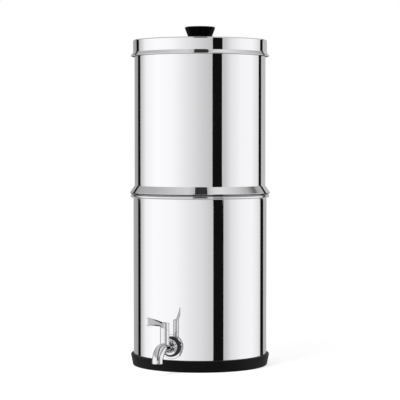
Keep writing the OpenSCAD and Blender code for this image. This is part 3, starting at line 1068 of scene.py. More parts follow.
@dataclass
class UpperShell:
    """The upper chamber and the conical collar that it stands on."""

    chamber: Vessel = Vessel(106.0, 251.85, 524.35, 1.0, -90, 24)
    collar_r: float = 113.6
    collar_z: float = 276.85
    collar_slope: float = 56.0
    collar_edge_h: float = 2.45
    collar_edge_r: float = 0.9
    collar_under_slope: float = 36.0
    seat_r: float = 107.85
    # Heights above the collar's seat of the band of painted shade under its lip.
    shade_band_from: float = 0.5
    shade_band_to: float = 2.3

    def collar_outline(self) -> Line:
        """Gives the section of the collar, cut upright where it meets the shell.

        Returns:
            Radius and height of each point.
        """
        slope, under = math.radians(self.collar_slope), math.radians(self.collar_under_slope)
        centre = self.collar_r - self.collar_edge_r, self.collar_z + self.collar_edge_h
        edge = arc(*centre, self.collar_edge_r, 90 - self.collar_slope, self.collar_under_slope - 90)
        (top_x, top_y), (low_x, low_y) = edge[0], edge[-1]
        top_r = self.chamber.radius + GAP
        top_z = top_y + (top_x - top_r) * math.tan(slope)
        seat_x = low_x - (low_y - self.collar_z) / math.tan(under)
        face = [(top_r, top_z), *edge, (seat_x, self.collar_z), (self.seat_r, self.collar_z)]
        back = moved(face, -SHEET)[::-1]
        back[-1] = (top_r, top_z - SHEET / math.cos(slope))
        return face + back

    def build(self) -> None:
        """Makes the shell and the collar."""
        shell = self.chamber.build("upper_shell", "Upper chamber steel")
        dressed(shell, Body.UPPER, "shell_steel", "upper_chamber")
        # The collar's underside near its lip gets a rough band painted dark as shade.
        shade_band = {"shade_band_from": self.collar_z + self.shade_band_from, "shade_band_to": self.collar_z + self.shade_band_to}
        steel = MirrorSteel("Collar steel", 0.0, **shade_band).material()
        collar = spun("collar_skirt", closed(self.collar_outline()), steel)
        dressed(collar, Body.UPPER, "shell_steel", "support_collar")


@dataclass
class LidUnit:
    """The lid with its flared hem, its knob and the fixing under it."""

    radius: float = 108.35
    top_z: float = 525.45
    height: float = 26.4
    corner_r: float = 2.15
    flare: float = 3.8
    flare_slope: float = 54.0
    edge_r: float = 0.9
    bend_r: float = 1.0
    return_w: float = 1.2
    knob_h: float = 22.3
    knob_foot_r: float = 17.5
    knob_foot_edge_r: float = 0.6
    knob_top_r: float = 24.5
    knob_edge_r: float = 2.2
    knob_crown: float = 0.7
    knob_crown_steps: int = 14

    def lid_line(self) -> Line:
        """Gives the upper face of the lid, from its middle to the end of its turned hem.

        Returns:
            Radius and height of each point.
        """
        slope = math.radians(self.flare_slope)
        hem_z = self.top_z - self.height
        tip_x = self.radius + self.flare - self.edge_r
        tip = arc(tip_x, hem_z + self.edge_r, self.edge_r, 90 - self.flare_slope, -90, 24)
        turn_x = self.radius + self.bend_r * (1 - math.sin(slope))
        turn_z = tip[0][1] + (tip[0][0] - turn_x) * math.tan(slope)
        bend_z = turn_z + self.bend_r * math.cos(slope)
        return [
            (0.0, self.top_z),
            *arc(self.radius - self.corner_r, self.top_z - self.corner_r, self.corner_r, 90, 0),
            *arc(self.radius + self.bend_r, bend_z, self.bend_r, 180, 270 - self.flare_slope, 10),
            *tip,
            (tip_x - self.return_w, hem_z),
        ]

    def knob_outline(self) -> Line:
        """Gives the section of the knob, from the middle of its foot over its crown.

        Returns:
            Radius and height of each point.
        """
        edge_z = self.knob_h - self.knob_crown - self.knob_edge_r
        edge_x = self.knob_top_r - self.knob_edge_r
        foot = self.knob_foot_edge_r
        shares = [1 - i / self.knob_crown_steps for i in range(1, self.knob_crown_steps + 1)]
        outline = [
            (0.0, 0.0),
            *arc(self.knob_foot_r - foot, foot, foot, -90, -15, 6),
            *arc(edge_x, edge_z, self.knob_edge_r, -20, 90, 20),
            *[(edge_x * t, self.knob_h - self.knob_crown * t**2) for t in shares],
        ]
        return [(r, z + self.top_z + GAP) for r, z in outline]

    def build(self) -> None:
        """Makes the lid and the knob and finishes the screw and washer."""
        steel = MirrorSteel("Lid steel", self.radius - SHEET / 2, self.top_z - SHEET / 2).material()
        lid = spun("lid_shell", sheet_profile(self.lid_line()), steel)
        dressed(lid, Body.LID, "shell_steel", "lid")
        gloss = Moulding("Knob plastic", (0.0012, 0.0012, 0.0014), 0.12, 0.004, 0.03).material()
        knob = spun("knob_turning", self.knob_outline(), gloss, crease=50.0)
        dressed(knob, Body.LID, "knob_plastic", "lid_knob")
        refinished(TurnedMetal("Fastener steel").material(), "knob_screw", "knob_washer")


@dataclass
class Tap:
    """The cam-lift tap: barrel, tower, bend and lever, with its fixing in the wall."""

    wall_r: float = 108.0
    inlet_z: float = 40.3
    tube_r: float = 9.25
    flange_r: float = 13.0
    flange_t: float = 2.6
    flange_out: float = 4.75
    fillet_r: float = 0.7
    edge_r: float = 0.8
    shank_r: float = 8.0
    shank_in: float = 23.0
    shank_pitch: float = 1.5
    shank_root: float = 0.7
    shank_over: float = 0.2
    thread_start: float = 0.6
    thread_end: float = -6.4
    runout: Point = (-7.0, -6.2)
    disc_r: float = 19.7
    disc_t: float = 1.6
    gasket_r: float = 16.0
    gasket_t: float = 3.0
    gasket_edge_r: float = 0.6
    nut_flats: float = 24.0
    nut_low: float = -13.15
    nut_high: float = -5.15
    tower_out: float = 24.5
    tower_r: float = 7.25
    tower_low: float = 2.0
    tower_over: float = 4.0
    guide_play: float = 0.2
    cam_rise: float = 26.0
    cam_slope: float = 43.0
    cam_block: float = 40.0
    valve_r: float = 5.6
    guide_low_z: float = 58.43
    spout_out: float = 50.0
    spout_r: float = 8.75
    spout_bore_r: float = 6.5
    bend_r: float = 19.0
    outlet_l: float = 2.0
    mouth_rim_r: float = 0.5
    mouth_lip_r: float = 0.4
    tube_in: float = 0.6
    tube_straight: float = 1.0
    bend_lead: float = 2.0
    pipe_facets: int = 96
    hub_h: float = 14.3
    hub_edge_r: float = 1.0
    pocket_r: float = 4.1
    pocket_h: float = 3.2
    blade_l: float = 60.5
    blade_t: float = 3.8
    blade_tip_h: float = 13.0
    blade_tip_r: float = 2.0
    blade_rise: float = 13.4
    blade_root_h: float = 9.5
    blade_hollow: float = 0.9
    blade_border: float = 2.0
    blade_over: float = 1.0
    nose_turn: float = 80.0
    lever_grain: float = 0.26
    lever_rounds: int = 3
    upper_knee: Point = (0.42, 0.45)
    lower_knee: Point = (0.2, 0.46)
    spring_low_z: float = 43.1
    spring_r: float = 4.05
    spring_turns: float = 4.0
    wire_r: float = 0.4
    lift: float = 10.65
    steel: Material = field(init=False)

    def __post_init__(self) -> None:
        """Makes the finish that the tap's own pieces share."""
        self.steel = CastSteel("Tap steel").material()

    @property
    def tower_y(self) -> float:
        """Where the tower's axis stands."""
        return -(self.wall_r + self.tower_out)

    @property
    def spout_y(self) -> float:
        """Where the outlet's axis stands."""
        return -(self.wall_r + self.spout_out)

    @property
    def cam_z(self) -> float:
        """Height of the middle of the cam."""
        return self.inlet_z + self.cam_rise

    @property
    def flange_top(self) -> float:
        """How far the flange's outer face stands from the wall."""
        return self.flange_out + self.flange_t

    @property
    def inlet_axis(self) -> Matrix:
        """The place where the inlet axis meets the wall, with Z running out."""
        place = Matrix.Translation((0, -self.wall_r * MM, self.inlet_z * MM))
        return place @ Matrix.Rotation(QUARTER, 4, "X")

    def on_tower(self, z: float = 0.0) -> Matrix:
        """Gives the place on the tower's axis at a height."""
        return Matrix.Translation((0, self.tower_y * MM, z * MM))

    def slope_block(self, name: str, above: bool, lift: float) -> Object:
        """Makes the block that cuts along the cam's slope.

        Args:
            name: Name of the object.
            above: Whether the block lies above the slope.
            lift: Distance of the slope above the cam.

        Returns:
            The block.
        """
        place = self.on_tower(self.cam_z + lift) @ Matrix.Rotation(math.radians(-self.cam_slope), 4, "X")
        half, deep = self.cam_block, 1.5 * self.cam_block
        square = [(-half, -half), (half, -half), (half, half), (-half, half)]
        return prism(name, square, 0.0 if above else -deep, deep if above else 0.0, place)

    def pipe_stations(self) -> list[tuple[Vector, Vector, float]]:
        """Gives the centre, heading and radius of each ring of the bent spout, out and back up its bore.

        Returns:
            The rings in order.
        """
        centre_y, centre_z = self.spout_y + self.bend_r, self.inlet_z - self.bend_r
        foot_z = centre_z - self.outlet_l
        rim, lip = self.mouth_rim_r, self.mouth_lip_r

        def on_bend(angle: float) -> tuple[Vector, Vector]:
            """Gives the place and heading on the bend, where 0 is its start and 90 its end.

            Args:
                angle: The angle, in degrees.

            Returns:
                The place and the heading.
            """
            a = math.radians(angle)
            place = Vector((0, centre_y - self.bend_r * math.sin(a), centre_z + self.bend_r * math.cos(a)))
            return place, Vector((0, -math.cos(a), -math.sin(a)))

        runs = [
            (self.flange_top - self.tube_in, self.tube_r),
            (self.flange_top + self.tube_straight, self.tube_r),
            (self.tower_out, self.spout_r),
            (self.spout_out - self.bend_r - self.bend_lead, self.spout_r),
        ]
        out = Vector((0, -1, 0))
        level = [(Vector((0, -(self.wall_r + far), self.inlet_z)), out, r) for far, r in runs]
        outer = [(*on_bend(a), self.spout_r) for a in range(0, 91, 5)]
        edge = arc(self.spout_r - rim, foot_z + rim, rim, 0, -90, 5)
        edge += arc(self.spout_bore_r + lip, foot_z + lip, lip, -90, -180, 4)
        mouth = [(Vector((0, self.spout_y, z)), Vector((0, 0, -1)), r) for r, z in edge]
        inner = [(*on_bend(a), self.spout_bore_r) for a in range(90, 19, -5)]
        return level + outer + mouth + inner

    def pipe(self, name: str) -> Object:
        """Makes the bent spout as one closed skin round its bore.

        Args:
            name: Name of the object.

        Returns:
            The object.
        """
        side = Vector((1, 0, 0))
        steps = [2 * math.pi * i / self.pipe_facets for i in range(self.pipe_facets)]
        rings = []
        for centre, heading, r in self.pipe_stations():
            over = heading.cross(side)
            rings.append([centre + side * r * math.cos(a) + over * r * math.sin(a) for a in steps])
        return tidied(lofted(name, rings))

    def body(self) -> None:
        """Makes the polished body of flange, spout and tower."""
        edge, fillet = self.edge_r, self.fillet_r
        outline = [
            (0.0, self.flange_out),
            *arc(self.flange_r - edge, self.flange_out + edge, edge, -90, 0, 8),
            *arc(self.flange_r - edge, self.flange_top - edge, edge, 0, 90, 8),
            *arc(self.tube_r + fillet - GAP, self.flange_top + fillet, fillet, -90, -180, 6),
            (0.0, self.flange_top + fillet),
        ]
        flange = spun("flange", outline, self.steel, Turned.MIDDLE, self.inlet_axis)
        low = self.inlet_z + self.tower_low
        high = self.cam_z + self.tower_r + self.tower_over
        bore = self.guide_low_z - self.guide_play
        wide, narrow = self.tower_r, self.valve_r
        cup = [(0.0, low), (wide, low), (wide, high), (narrow, high), (narrow, bore), (0.0, bore)]
        tower = spun("tower", cup, self.steel, Turned.MIDDLE, self.on_tower())
        carved(tower, [self.slope_block("above_cam", True, 0.0)])
        body = joined("tap_casting", [flange, self.pipe("spout"), tower])
        dressed(tidied(body), Body.LOWER, "tap_steel", "tap_body")

    def shank(self) -> None:
        """Makes the turned and threaded shank behind the body."""
        root = self.shank_r - self.shank_root
        edge = self.edge_r
        low, high = -self.shank_in, self.flange_out + self.shank_over
        core = [
            (0.0, low),
            *arc(root - edge, edge + low, edge, -90, 0, 5),
            (root, self.runout[0]),
            (self.shank_r, self.runout[1]),
            (self.shank_r, high),
            (0.0, high),
        ]
        turned = spun("shank_core", core, self.steel, Turned.MIDDLE)
        run = low + self.thread_start, self.thread_end
        thread = threaded("shank_thread", self.shank_r, *run, self.shank_pitch, self.steel)
        both = joined("tap_shank", [turned, thread])
        both.data.transform(self.inlet_axis)
        dressed(tidied(both, 25.0), Body.LOWER, "tap_steel", "tap_body")

    def disc(self) -> None:
        """Makes the bright disc, whose back follows the wall's curve."""
        bore = self.shank_r + PLAY
        edge = self.edge_r
        rim = arc(self.disc_r - edge, self.disc_t - edge, edge, 0, 90, 8)
        outline = [(bore, 0.0), (self.disc_r, 0.0), *rim, (bore, self.disc_t)]
        disc = spun("disc_plate", closed(outline), self.steel, Turned.MIDDLE)
        back = (self.wall_r + GAP) * MM
        for vertex in disc.data.vertices:
            if vertex.co.z < 1e-6:
                vertex.co.z = math.sqrt(back * back - vertex.co.x**2) - self.wall_r * MM
        disc.data.transform(self.inlet_axis)
        dressed(tidied(disc), Body.LOWER, "tap_steel", "tap_disc")

    def fixings(self) -> None:
        """Makes the gasket and the nut on the shank and finishes the solids that stay in view."""
        rubber = Rubber("Seal rubber", (0.02, 0.02, 0.021), 0.5).material()
        plain = TurnedMetal("Nut steel").material()
        bore = self.shank_r + PLAY
        low = self.disc_t + GAP
        soft = washer(bore, self.gasket_r, low, low + self.gasket_t, self.gasket_edge_r)
        gasket = spun("outer_washer_rubber", soft, rubber, Turned.MIDDLE, self.inlet_axis)
        dressed(gasket, Body.LOWER, "seal_rubber", "tap_outer_gasket")
        nut = hex_nut("lock_hexagon", self.nut_flats, bore, self.nut_low, self.nut_high, plain)
        nut.data.transform(self.inlet_axis)
        dressed(nut, Body.LOWER, "fastener_steel", "tap_lock_nut")
        refinished(rubber, "tap_inner_gasket", "stem_seal", "valve_plug")
        refinished(TurnedMetal("Guide brass", (0.72, 0.5, 0.22), 0.22).material(), "stem_guide")
        refinished(plain, "tap_inner_washer", "valve_stem", "handle_screw")
        self.spring(plain)

    def spring(self, plain: Material) -> None:
        """Winds the closing spring, which the rising stem presses up against the guide.

        Args:
            plain: Finish of the wire.
        """
        top = self.guide_low_z - GAP
        length = top - self.spring_low_z
        pitch = (length - 2 * self.wire_r) / self.spring_turns
        wire = Winding(self.spring_r + self.wire_r, self.spring_low_z, top, pitch, self.wire_r, 12, 60.0)
        coil = wire.build("closing_coil", plain)
        coil.data.transform(self.on_tower())
        dressed(coil, Body.LOWER, "fastener_steel", "valve_spring")
        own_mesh(coil)

    def blade_outline(self, border: float = 0.0) -> Line:
        """Gives the side view of the blade, or of the hollow inside a border.

        Args:
            border: Width left round the hollow, or 0 for the blade.

        Returns:
            Points that run out from the hub's axis and up from the hub's top.
        """
        tip_r = self.blade_tip_r - border / 2
        tip_x = self.blade_l - border
        end_x = tip_x - tip_r
        top = self.blade_rise - border
        low = self.blade_rise - self.blade_tip_h + border
        over = self.blade_over
        root_x = self.tower_r + border if border else self.pocket_r + over
        root_low = border - self.blade_root_h
        upper_knee = self.blade_l * self.upper_knee[0], self.blade_rise * self.upper_knee[1] - border
        lower_knee = self.blade_l * self.lower_knee[0], self.blade_rise * self.lower_knee[1] + root_low
        upper = bend((root_x, -border), upper_knee, (end_x, top))
        lower = bend((end_x, low), lower_knee, (root_x, root_low))
        if border:
            return [*upper, (self.blade_l + over, top), (self.blade_l + over, low), *lower]
        turn = self.nose_turn
        nose = arc(end_x, top - tip_r, tip_r, turn, 0, 8) + arc(end_x, low + tip_r, tip_r, 0, -turn, 8)
        return upper + nose + lower

    def handle(self) -> None:
        """Makes the lever: a hub cut to the cam's slope and a blade with a hollow in each side."""
        top = self.cam_z + self.hub_h
        low = self.cam_z - self.cam_rise / 2
        edge = self.hub_edge_r
        hub_outline = [
            (0.0, low),
            (self.tower_r, low),
            *arc(self.tower_r - edge, top - edge, edge, 0, 90, 8),
            (self.pocket_r, top),
            (self.pocket_r, top - self.pocket_h),
            (0.0, top - self.pocket_h),
        ]
        hub = spun("hub", hub_outline, self.steel, Turned.MIDDLE, self.on_tower())
        carved(hub, [self.slope_block("below_cam", False, PLAY)])
        side_view = self.on_tower(top) @ Matrix(((0, 0, -1, 0), (-1, 0, 0, 0), (0, 1, 0, 0), (0, 0, 0, 1)))
        half = self.blade_t / 2
        blade = prism("blade", self.blade_outline(), -half, half, side_view)
        hollow = self.blade_outline(self.blade_border)
        floor = half - self.blade_hollow
        past = half + self.blade_over
        sides = {"hollow_one": (floor, past), "hollow_two": (-past, -floor)}
        carved(blade, [prism(name, hollow, *span, side_view) for name, span in sides.items()])
        steel = CastSteel("Lever steel", hollow_x=1.2).material()
        whole = joined("lever_handle", [hub, blade])
        lever = cast(whole, self.lever_grain, self.lever_rounds, steel)
        dressed(lever, Body.LEVER, "tap_steel", "tap_handle")

    def build(self) -> None:
        """Makes the whole tap."""
        for step in (self.body, self.shank, self.disc, self.fixings, self.handle):
            step()


@dataclass
class Elements:
    """The two filter elements and the two plugs, and what holds them in the floor."""

    ring_r: float = 48.0
    floor_z: float = 251.85
    media_r: float = 28.5
    core_r: float = 10.0
    media_h: float = 180.0
    rim_t: float = 1.65
    socket: float = 6.0
    plate_t: float = 5.0
    groove_r: float = 5.0
    groove_w: float = 2.0
    groove_floor_w: float = 1.2
    groove_t: float = 0.4
    cap_edge_r: float = 0.4
    stem_r: float = 6.0
    stem_root: float = 0.6
    stem_pitch: float = 1.75
    bore_r: float = 2.5
    stem_drop: float = 27.0
    stem_over: float = 1.0
    foot_edge_r: float = 0.5
    thread_start: float = 0.6
    runout: Point = (3.5, 2.9)
    gasket_t: float = 3.0
    gasket_r: float = 17.0
    gasket_edge_r: float = 0.7
    barrel_r: float = 10.0
    barrel_h: float = 9.0
    barrel_edge_r: float = 0.8
    wing_reach: float = 19.0
    wing_t: float = 3.6
    wing_h: float = 14.0
    wing_in: float = 1.0
    wing_shoulder: float = 2.0
    wing_edge_r: float = 0.9
    ribs: int = 40
    rib_w: float = 0.9
    rib_l: float = 1.6
    rib_in: float = 0.1
    rib_low: float = 0.5
    rib_short: float = 1.2
    plug_r: float = 14.0
    plug_h: float = 5.0
    plug_drop: float = 14.0
    plug_edge_h: float = 1.0
    plug_runout: Point = (2.6, 2.2)
    plug_gasket_r: float = 13.0
    plug_gasket_t: float = 2.0
    plug_gasket_edge_r: float = 0.5
    plug_nut_flats: float = 19.0
    plug_nut_h: float = 8.0
    white: Material = field(init=False)
    black: Material = field(init=False)
    carbon: Material = field(init=False)

    def __post_init__(self) -> None:
        """Makes the finishes that these pieces share."""
        self.white = Moulding("Cap plastic", (0.8, 0.81, 0.8), 0.34, 0.012).material()
        self.black = Rubber("Gasket rubber", (0.022, 0.022, 0.023), 0.5).material()
        self.carbon = Carbon("Carbon block").material()

    @property
    def seat_z(self) -> float:
        """Where the gaskets lie in the chamber."""
        return self.floor_z + SHEET + GAP

    @property
    def hole_r(self) -> float:
        """Radius of a bore round a stem."""
        return self.stem_r + PLAY

    def at_hole(self, angle: float) -> Matrix:
        """Gives the place over a hole in the floor."""
        return Matrix.Rotation(math.radians(angle), 4, "Z") @ Matrix.Translation((self.ring_r * MM, 0, 0))

    def foot(self, inner: float, low: float, seat: float, runout: Point) -> Line:
        """Gives the start of a threaded stem's section.

        Args:
            inner: Radius of its bore.
            low: Height of its lower end.
            seat: Height of what it hangs from.
            runout: How far under the seat the thread's root ends and the full radius starts.

        Returns:
            The points from the bore up to the full radius.
        """
        core, edge_r = self.stem_r - self.stem_root, self.foot_edge_r
        edge = arc(core - edge_r, low + edge_r, edge_r, -90, 0, 4)
        return [(inner, low), *edge, (core, seat - runout[0]), (self.stem_r, seat - runout[1])]

    def stem_thread(self, name: str, low: float, seat: float, runout: Point) -> Object:
        """Winds a stem's thread, from over its lower end to the middle of its runout."""
        run = low + self.thread_start, seat - sum(runout) / 2
        return threaded(name, self.stem_r, *run, self.stem_pitch, self.white)

    def cap(self, name: str, low: float, flip: bool) -> Object:
        """Makes a cap: a plate with a rim, and grip ribs round it.

        Args:
            name: Name of the object.
            low: Height of its outer face.
            flip: Whether its rim points down.

        Returns:
            The object.
        """
        inner = self.media_r + GAP
        outer = inner + self.rim_t
        groove = outer - self.groove_r
        turn = self.plate_t / 3
        high = self.plate_t + self.socket
        wide, narrow, deep = self.groove_w / 2, self.groove_floor_w / 2, self.groove_t
        edge = self.cap_edge_r
        outline = [
            (0.0, 0.0),
            (groove - wide, 0.0),
            (groove - narrow, deep),
            (groove + narrow, deep),
            (groove + wide, 0.0),
            *arc(outer - turn, turn, turn, -90, 0, 8),
            *arc(outer - edge, high - edge, edge, 0, 90, 4),
            (inner, high),
            (inner, self.plate_t),
            (0.0, self.plate_t),
        ]
        plate = spun(name + "_plate", outline, self.white, Turned.MIDDLE)
        rib_h = high - turn - self.rib_short
        ribs = grown(
            name + "_ribs",
            bpy.data.meshes.new(name),
            grip_tree(),
            Ribs=self.ribs,
            Ring_radius=(outer - self.rib_in) * MM,
            Rib_size=(self.rib_w * MM, self.rib_l * MM, rib_h * MM),
            Finish=self.white,
        )
        ribs.data.transform(Matrix.Translation((0, 0, (turn + self.rib_low + rib_h / 2) * MM)))
        return self.stood(joined(name, [plate, ribs]), low, flip, 30.0)

    def stood(self, obj: Object, z: float, flip: bool, crease: float) -> Object:
        """Sets a piece that was made at the origin to its height, upside down if asked.

        Args:
            obj: The piece.
            z: The height.
            flip: Whether it is turned upside down.
            crease: Angle in degrees from which an edge stays sharp.

        Returns:
            The same piece.
        """
        if flip:
            obj.data.transform(Matrix.Scale(-1, 4, (0, 0, 1)))
        obj.data.transform(Matrix.Translation((0, 0, z * MM)))
        return tidied(obj, crease)

    def wing_nut(self, name: str) -> Object:
        """Makes a wing nut that hangs from the floor, on the Z axis.

        Args:
            name: Name of the object.

        Returns:
            The object.
        """
        outline = washer(self.hole_r, self.barrel_r, 0.0, self.barrel_h, self.barrel_edge_r)
        parts = [spun(name + "_barrel", outline, self.white, Turned.SMALL)]
        inset, shoulder = self.wing_in, self.wing_shoulder
        root, reach, top = self.barrel_r - inset, self.wing_reach, self.wing_h
        wing = [
            *bend((root, self.barrel_h - inset), (reach - shoulder, top), (reach, top - shoulder), 10),
            *bend((reach, self.barrel_h), (reach - inset, shoulder), (root, inset), 10),
        ]
        for angle in (45, 225):
            turn = Matrix.Rotation(math.radians(angle), 4, "Z") @ Matrix.Rotation(QUARTER, 4, "X")
            blade = prism(f"{name}_wing_{angle}", wing, -self.wing_t / 2, self.wing_t / 2, turn)
            soft = blade.modifiers.new("Soft edge", "BEVEL")
            soft.width = self.wing_edge_r * MM
            soft.segments = 3
            soft.limit_method = "ANGLE"
            soft.angle_limit = math.radians(50)
            parts.append(applied(blade))
        return self.stood(joined(name, parts), self.floor_z - GAP, True, 35.0)

    def element(self, side: str, angle: float) -> None:
        """Makes one filter element.

        Args:
            side: Which of the two it is.
            angle: Angle of its hole.
        """
        low = self.seat_z
        cap_z = low + self.gasket_t + GAP
        media_z = cap_z + self.plate_t + GAP
        media_top = media_z + self.media_h
        end_z = self.floor_z - self.stem_drop
        top_z = cap_z + self.stem_over
        core, wide = self.core_r, self.media_r
        ring = [(core, media_z), (wide, media_z), (wide, media_top), (core, media_top)]
        stem = self.foot(self.bore_r, end_z, cap_z, self.runout)
        stem += [(self.stem_r, top_z), (self.bore_r, top_z)]
        block = spun(f"{side}_carbon", closed(ring), self.carbon, Turned.MIDDLE)
        crown = self.cap(f"{side}_crown_cap", media_top + GAP + self.plate_t, True)
        foot = [
            self.cap(f"{side}_foot_plate", cap_z, False),
            spun(f"{side}_stem", closed(stem), self.white, Turned.SMALL),
            self.stem_thread(f"{side}_stem_thread", end_z, cap_z, self.runout),
        ]
        base = tidied(joined(f"{side}_foot_cap", foot), 30.0)
        soft = washer(self.hole_r, self.gasket_r, low, low + self.gasket_t, self.gasket_edge_r)
        gasket = spun(f"{side}_washer_rubber", soft, self.black, Turned.MIDDLE)
        for obj, slot, node in (
            (block, "filter_carbon", "filter_block"),
            (crown, "cap_plastic", "top_cap"),
            (base, "cap_plastic", "base_cap"),
            (gasket, "seal_rubber", "gasket"),
            (self.wing_nut(f"{side}_hand_nut"), "cap_plastic", "wing_nut"),
        ):
            obj.data.transform(self.at_hole(angle))
            dressed(obj, Body.UPPER, slot, f"{side}_{node}")

    def plug(self, name: str) -> Object:
        """Makes one plug with its thread on the Z axis.

        Args:
            name: Name of the object.

        Returns:
            The object.
        """
        low = self.seat_z + self.plug_gasket_t + GAP
        end_z = self.floor_z - self.plug_drop
        wide, top = self.plug_r, low + self.plug_h
        dome = bend((wide, low + self.plug_edge_h), (wide, top), (0.0, top), 16)
        stem = self.foot(0.0, end_z, low, self.plug_runout)
        outline = [*stem, (self.stem_r, low), (wide, low), *dome]
        head = spun(name + "_head", outline, self.white, Turned.SMALL)
        thread = self.stem_thread(name + "_thread", end_z, low, self.plug_runout)
        return joined(name, [head, thread])

    def plug_washer(self, name: str) -> Object:
        """Makes the gasket under a plug's head, on the Z axis.

        Args:
            name: Name of the object.

        Returns:
            The object.
        """
        low = self.seat_z
        high = low + self.plug_gasket_t
        ring = washer(self.hole_r, self.plug_gasket_r, low, high, self.plug_gasket_edge_r, 4)
        return spun(name, ring, self.black, Turned.SMALL)

    def plug_nut(self, name: str) -> Object:
        """Makes the nut that holds a plug from below, on the Z axis."""
        high = self.floor_z - GAP
        return hex_nut(name, self.plug_nut_flats, self.hole_r, high - self.plug_nut_h, high, self.white)

    def plugs(self) -> None:
        """Makes the two plugs with their gaskets and nuts."""
        groups = [
            ("blank_plugs", "cap_plastic", "hole_plugs", self.plug),
            ("blank_washers", "seal_rubber", "plug_gaskets", self.plug_washer),
            ("blank_nuts", "cap_plastic", "plug_nuts", self.plug_nut),
        ]
        for name, slot, node, make in groups:
            pair = []
            for angle in (90, 270):
                pair.append(make(f"{name}_{angle}"))
                pair[-1].data.transform(self.at_hole(angle))
            dressed(tidied(joined(name, pair), 30.0), Body.UPPER, slot, node)

    def build(self) -> None:
        """Makes both elements and both plugs."""
        self.element("left", 180)
        self.element("right", 0)
        self.plugs()


# ---------------------------------------------------------------- the studio


@dataclass(frozen=True)
class PhotoCamera:
    """The camera at the photograph's place, with angles in degrees and distances in metres."""

    azimuth: float = 24.5
    distance: float = 2.7249
    height: float = 0.36835
    aim: float = 0.26686
    lens: float = 151.107

    def toward(self) -> Vector:
        """Gives the level direction from the filter to the camera."""
        a = math.radians(self.azimuth)
        return Vector((math.sin(a), -math.cos(a), 0))

    def right(self) -> Vector:
        """Gives the level direction to the picture's right."""
        a = math.radians(self.azimuth)
        return Vector((math.cos(a), math.sin(a), 0))

    def build(self) -> None:
        """Makes the camera and hands it to the scene."""
        data = bpy.data.cameras.new("Photo camera")
        data.lens = self.lens
        data.sensor_width = 36.0
        data.clip_end = 100.0
        camera = bpy.data.objects.new("Photo camera", data)
        bpy.context.scene.collection.objects.link(camera)
        camera.location = self.toward() * self.distance + Vector((0, 0, self.height))
        point_at(camera, Vector((0, 0, self.aim)))
        bpy.context.scene.camera = camera


def point_at(obj: Object, target: Vector) -> None:
    """Turns a camera or a lamp towards a point."""
    obj.rotation_mode = "QUATERNION"
    obj.rotation_quaternion = (target - obj.location).to_track_quat("-Z", "Y")


@dataclass(frozen=True)
class Flag:
    """A black upright flag beside a lamp, by the azimuths that it covers.

    Attributes:
        high: Its edges as the upper chamber shows them.
        low: Its edges as the lower chamber shows them.
        lean: How far it turns away for each unit that it rises.
    """

    high: Point
    low: Point
    lean: float


@dataclass(frozen=True)
class Lamp:
    """A soft lamp that points at the filter.

    Attributes:
        name: Name of the lamp.
        azimuth: Angle to the right of the camera, in degrees.
        elevation: Angle above the floor, in degrees.
        distance: Distance in metres.
        size: Side of the lamp in metres.
        power: Power in watts.
        target_z: Height that it points at, in metres.
    """

    name: str = "Key lamp"
    azimuth: float = -38.0
    elevation: float = 52.0
    distance: float = 2.4
    size: float = 0.7
    power: float = 26.0
    target_z: float = 0.27

    def build(self, eye: PhotoCamera) -> None:
        """Hangs the lamp.

        Args:
            eye: The camera, from whose direction the azimuth is counted.
        """
        a, e = math.radians(self.azimuth), math.radians(self.elevation)
        level = eye.toward() * math.cos(a) + eye.right() * math.sin(a)
        data = bpy.data.lights.new(self.name, "AREA")
        data.shape = "SQUARE"
        data.size = self.size
        data.energy = self.power
        lamp = bpy.data.objects.new(self.name, data)
        lamp.visible_glossy = False
        bpy.context.scene.collection.objects.link(lamp)
        target = Vector((0, 0, self.target_z))
        lamp.location = target + (level * math.cos(e) + Vector((0, 0, math.sin(e)))) * self.distance
        point_at(lamp, target)


class Sky(NodeKit):
    """The node tree of the light that comes from all round."""

    def ramp(self, value: NodeSocket, stops: Sequence[Point]) -> NodeSocket:
        """Adds a grey ramp with the given places and levels.

        Args:
            value: What the ramp reads.
            stops: Place and level of each stop.

        Returns:
            The grey.
        """
        made = self.node("ShaderNodeValToRGB", {0: value})
        elements = made.color_ramp.elements
        while len(elements) < len(stops):
            elements.new(0.5)
        for element, (place, _) in zip(elements, stops):
            element.position = place
        for element, (_, level) in zip(elements, stops):
            element.color = (level, level, level, 1)
        return made.outputs[0]

    def over(self, factor: NodeSocket, below: Any, above: Any) -> NodeSocket:
        """Lays one light over another where a factor is 1. A plain number is a grey."""
        below, above = ((v, v, v, 1) if isinstance(v, float) else v for v in (below, above))
        return self.out("ShaderNodeMixRGB", {0: factor, 1: below, 2: above})

    def eased(self, value: NodeSocket, start: float, end: float) -> NodeSocket:
        """Gives a factor that runs from 0 to 1 while a value runs between two others."""
        return self.out("ShaderNodeMapRange", {0: value, 1: start, 2: end})


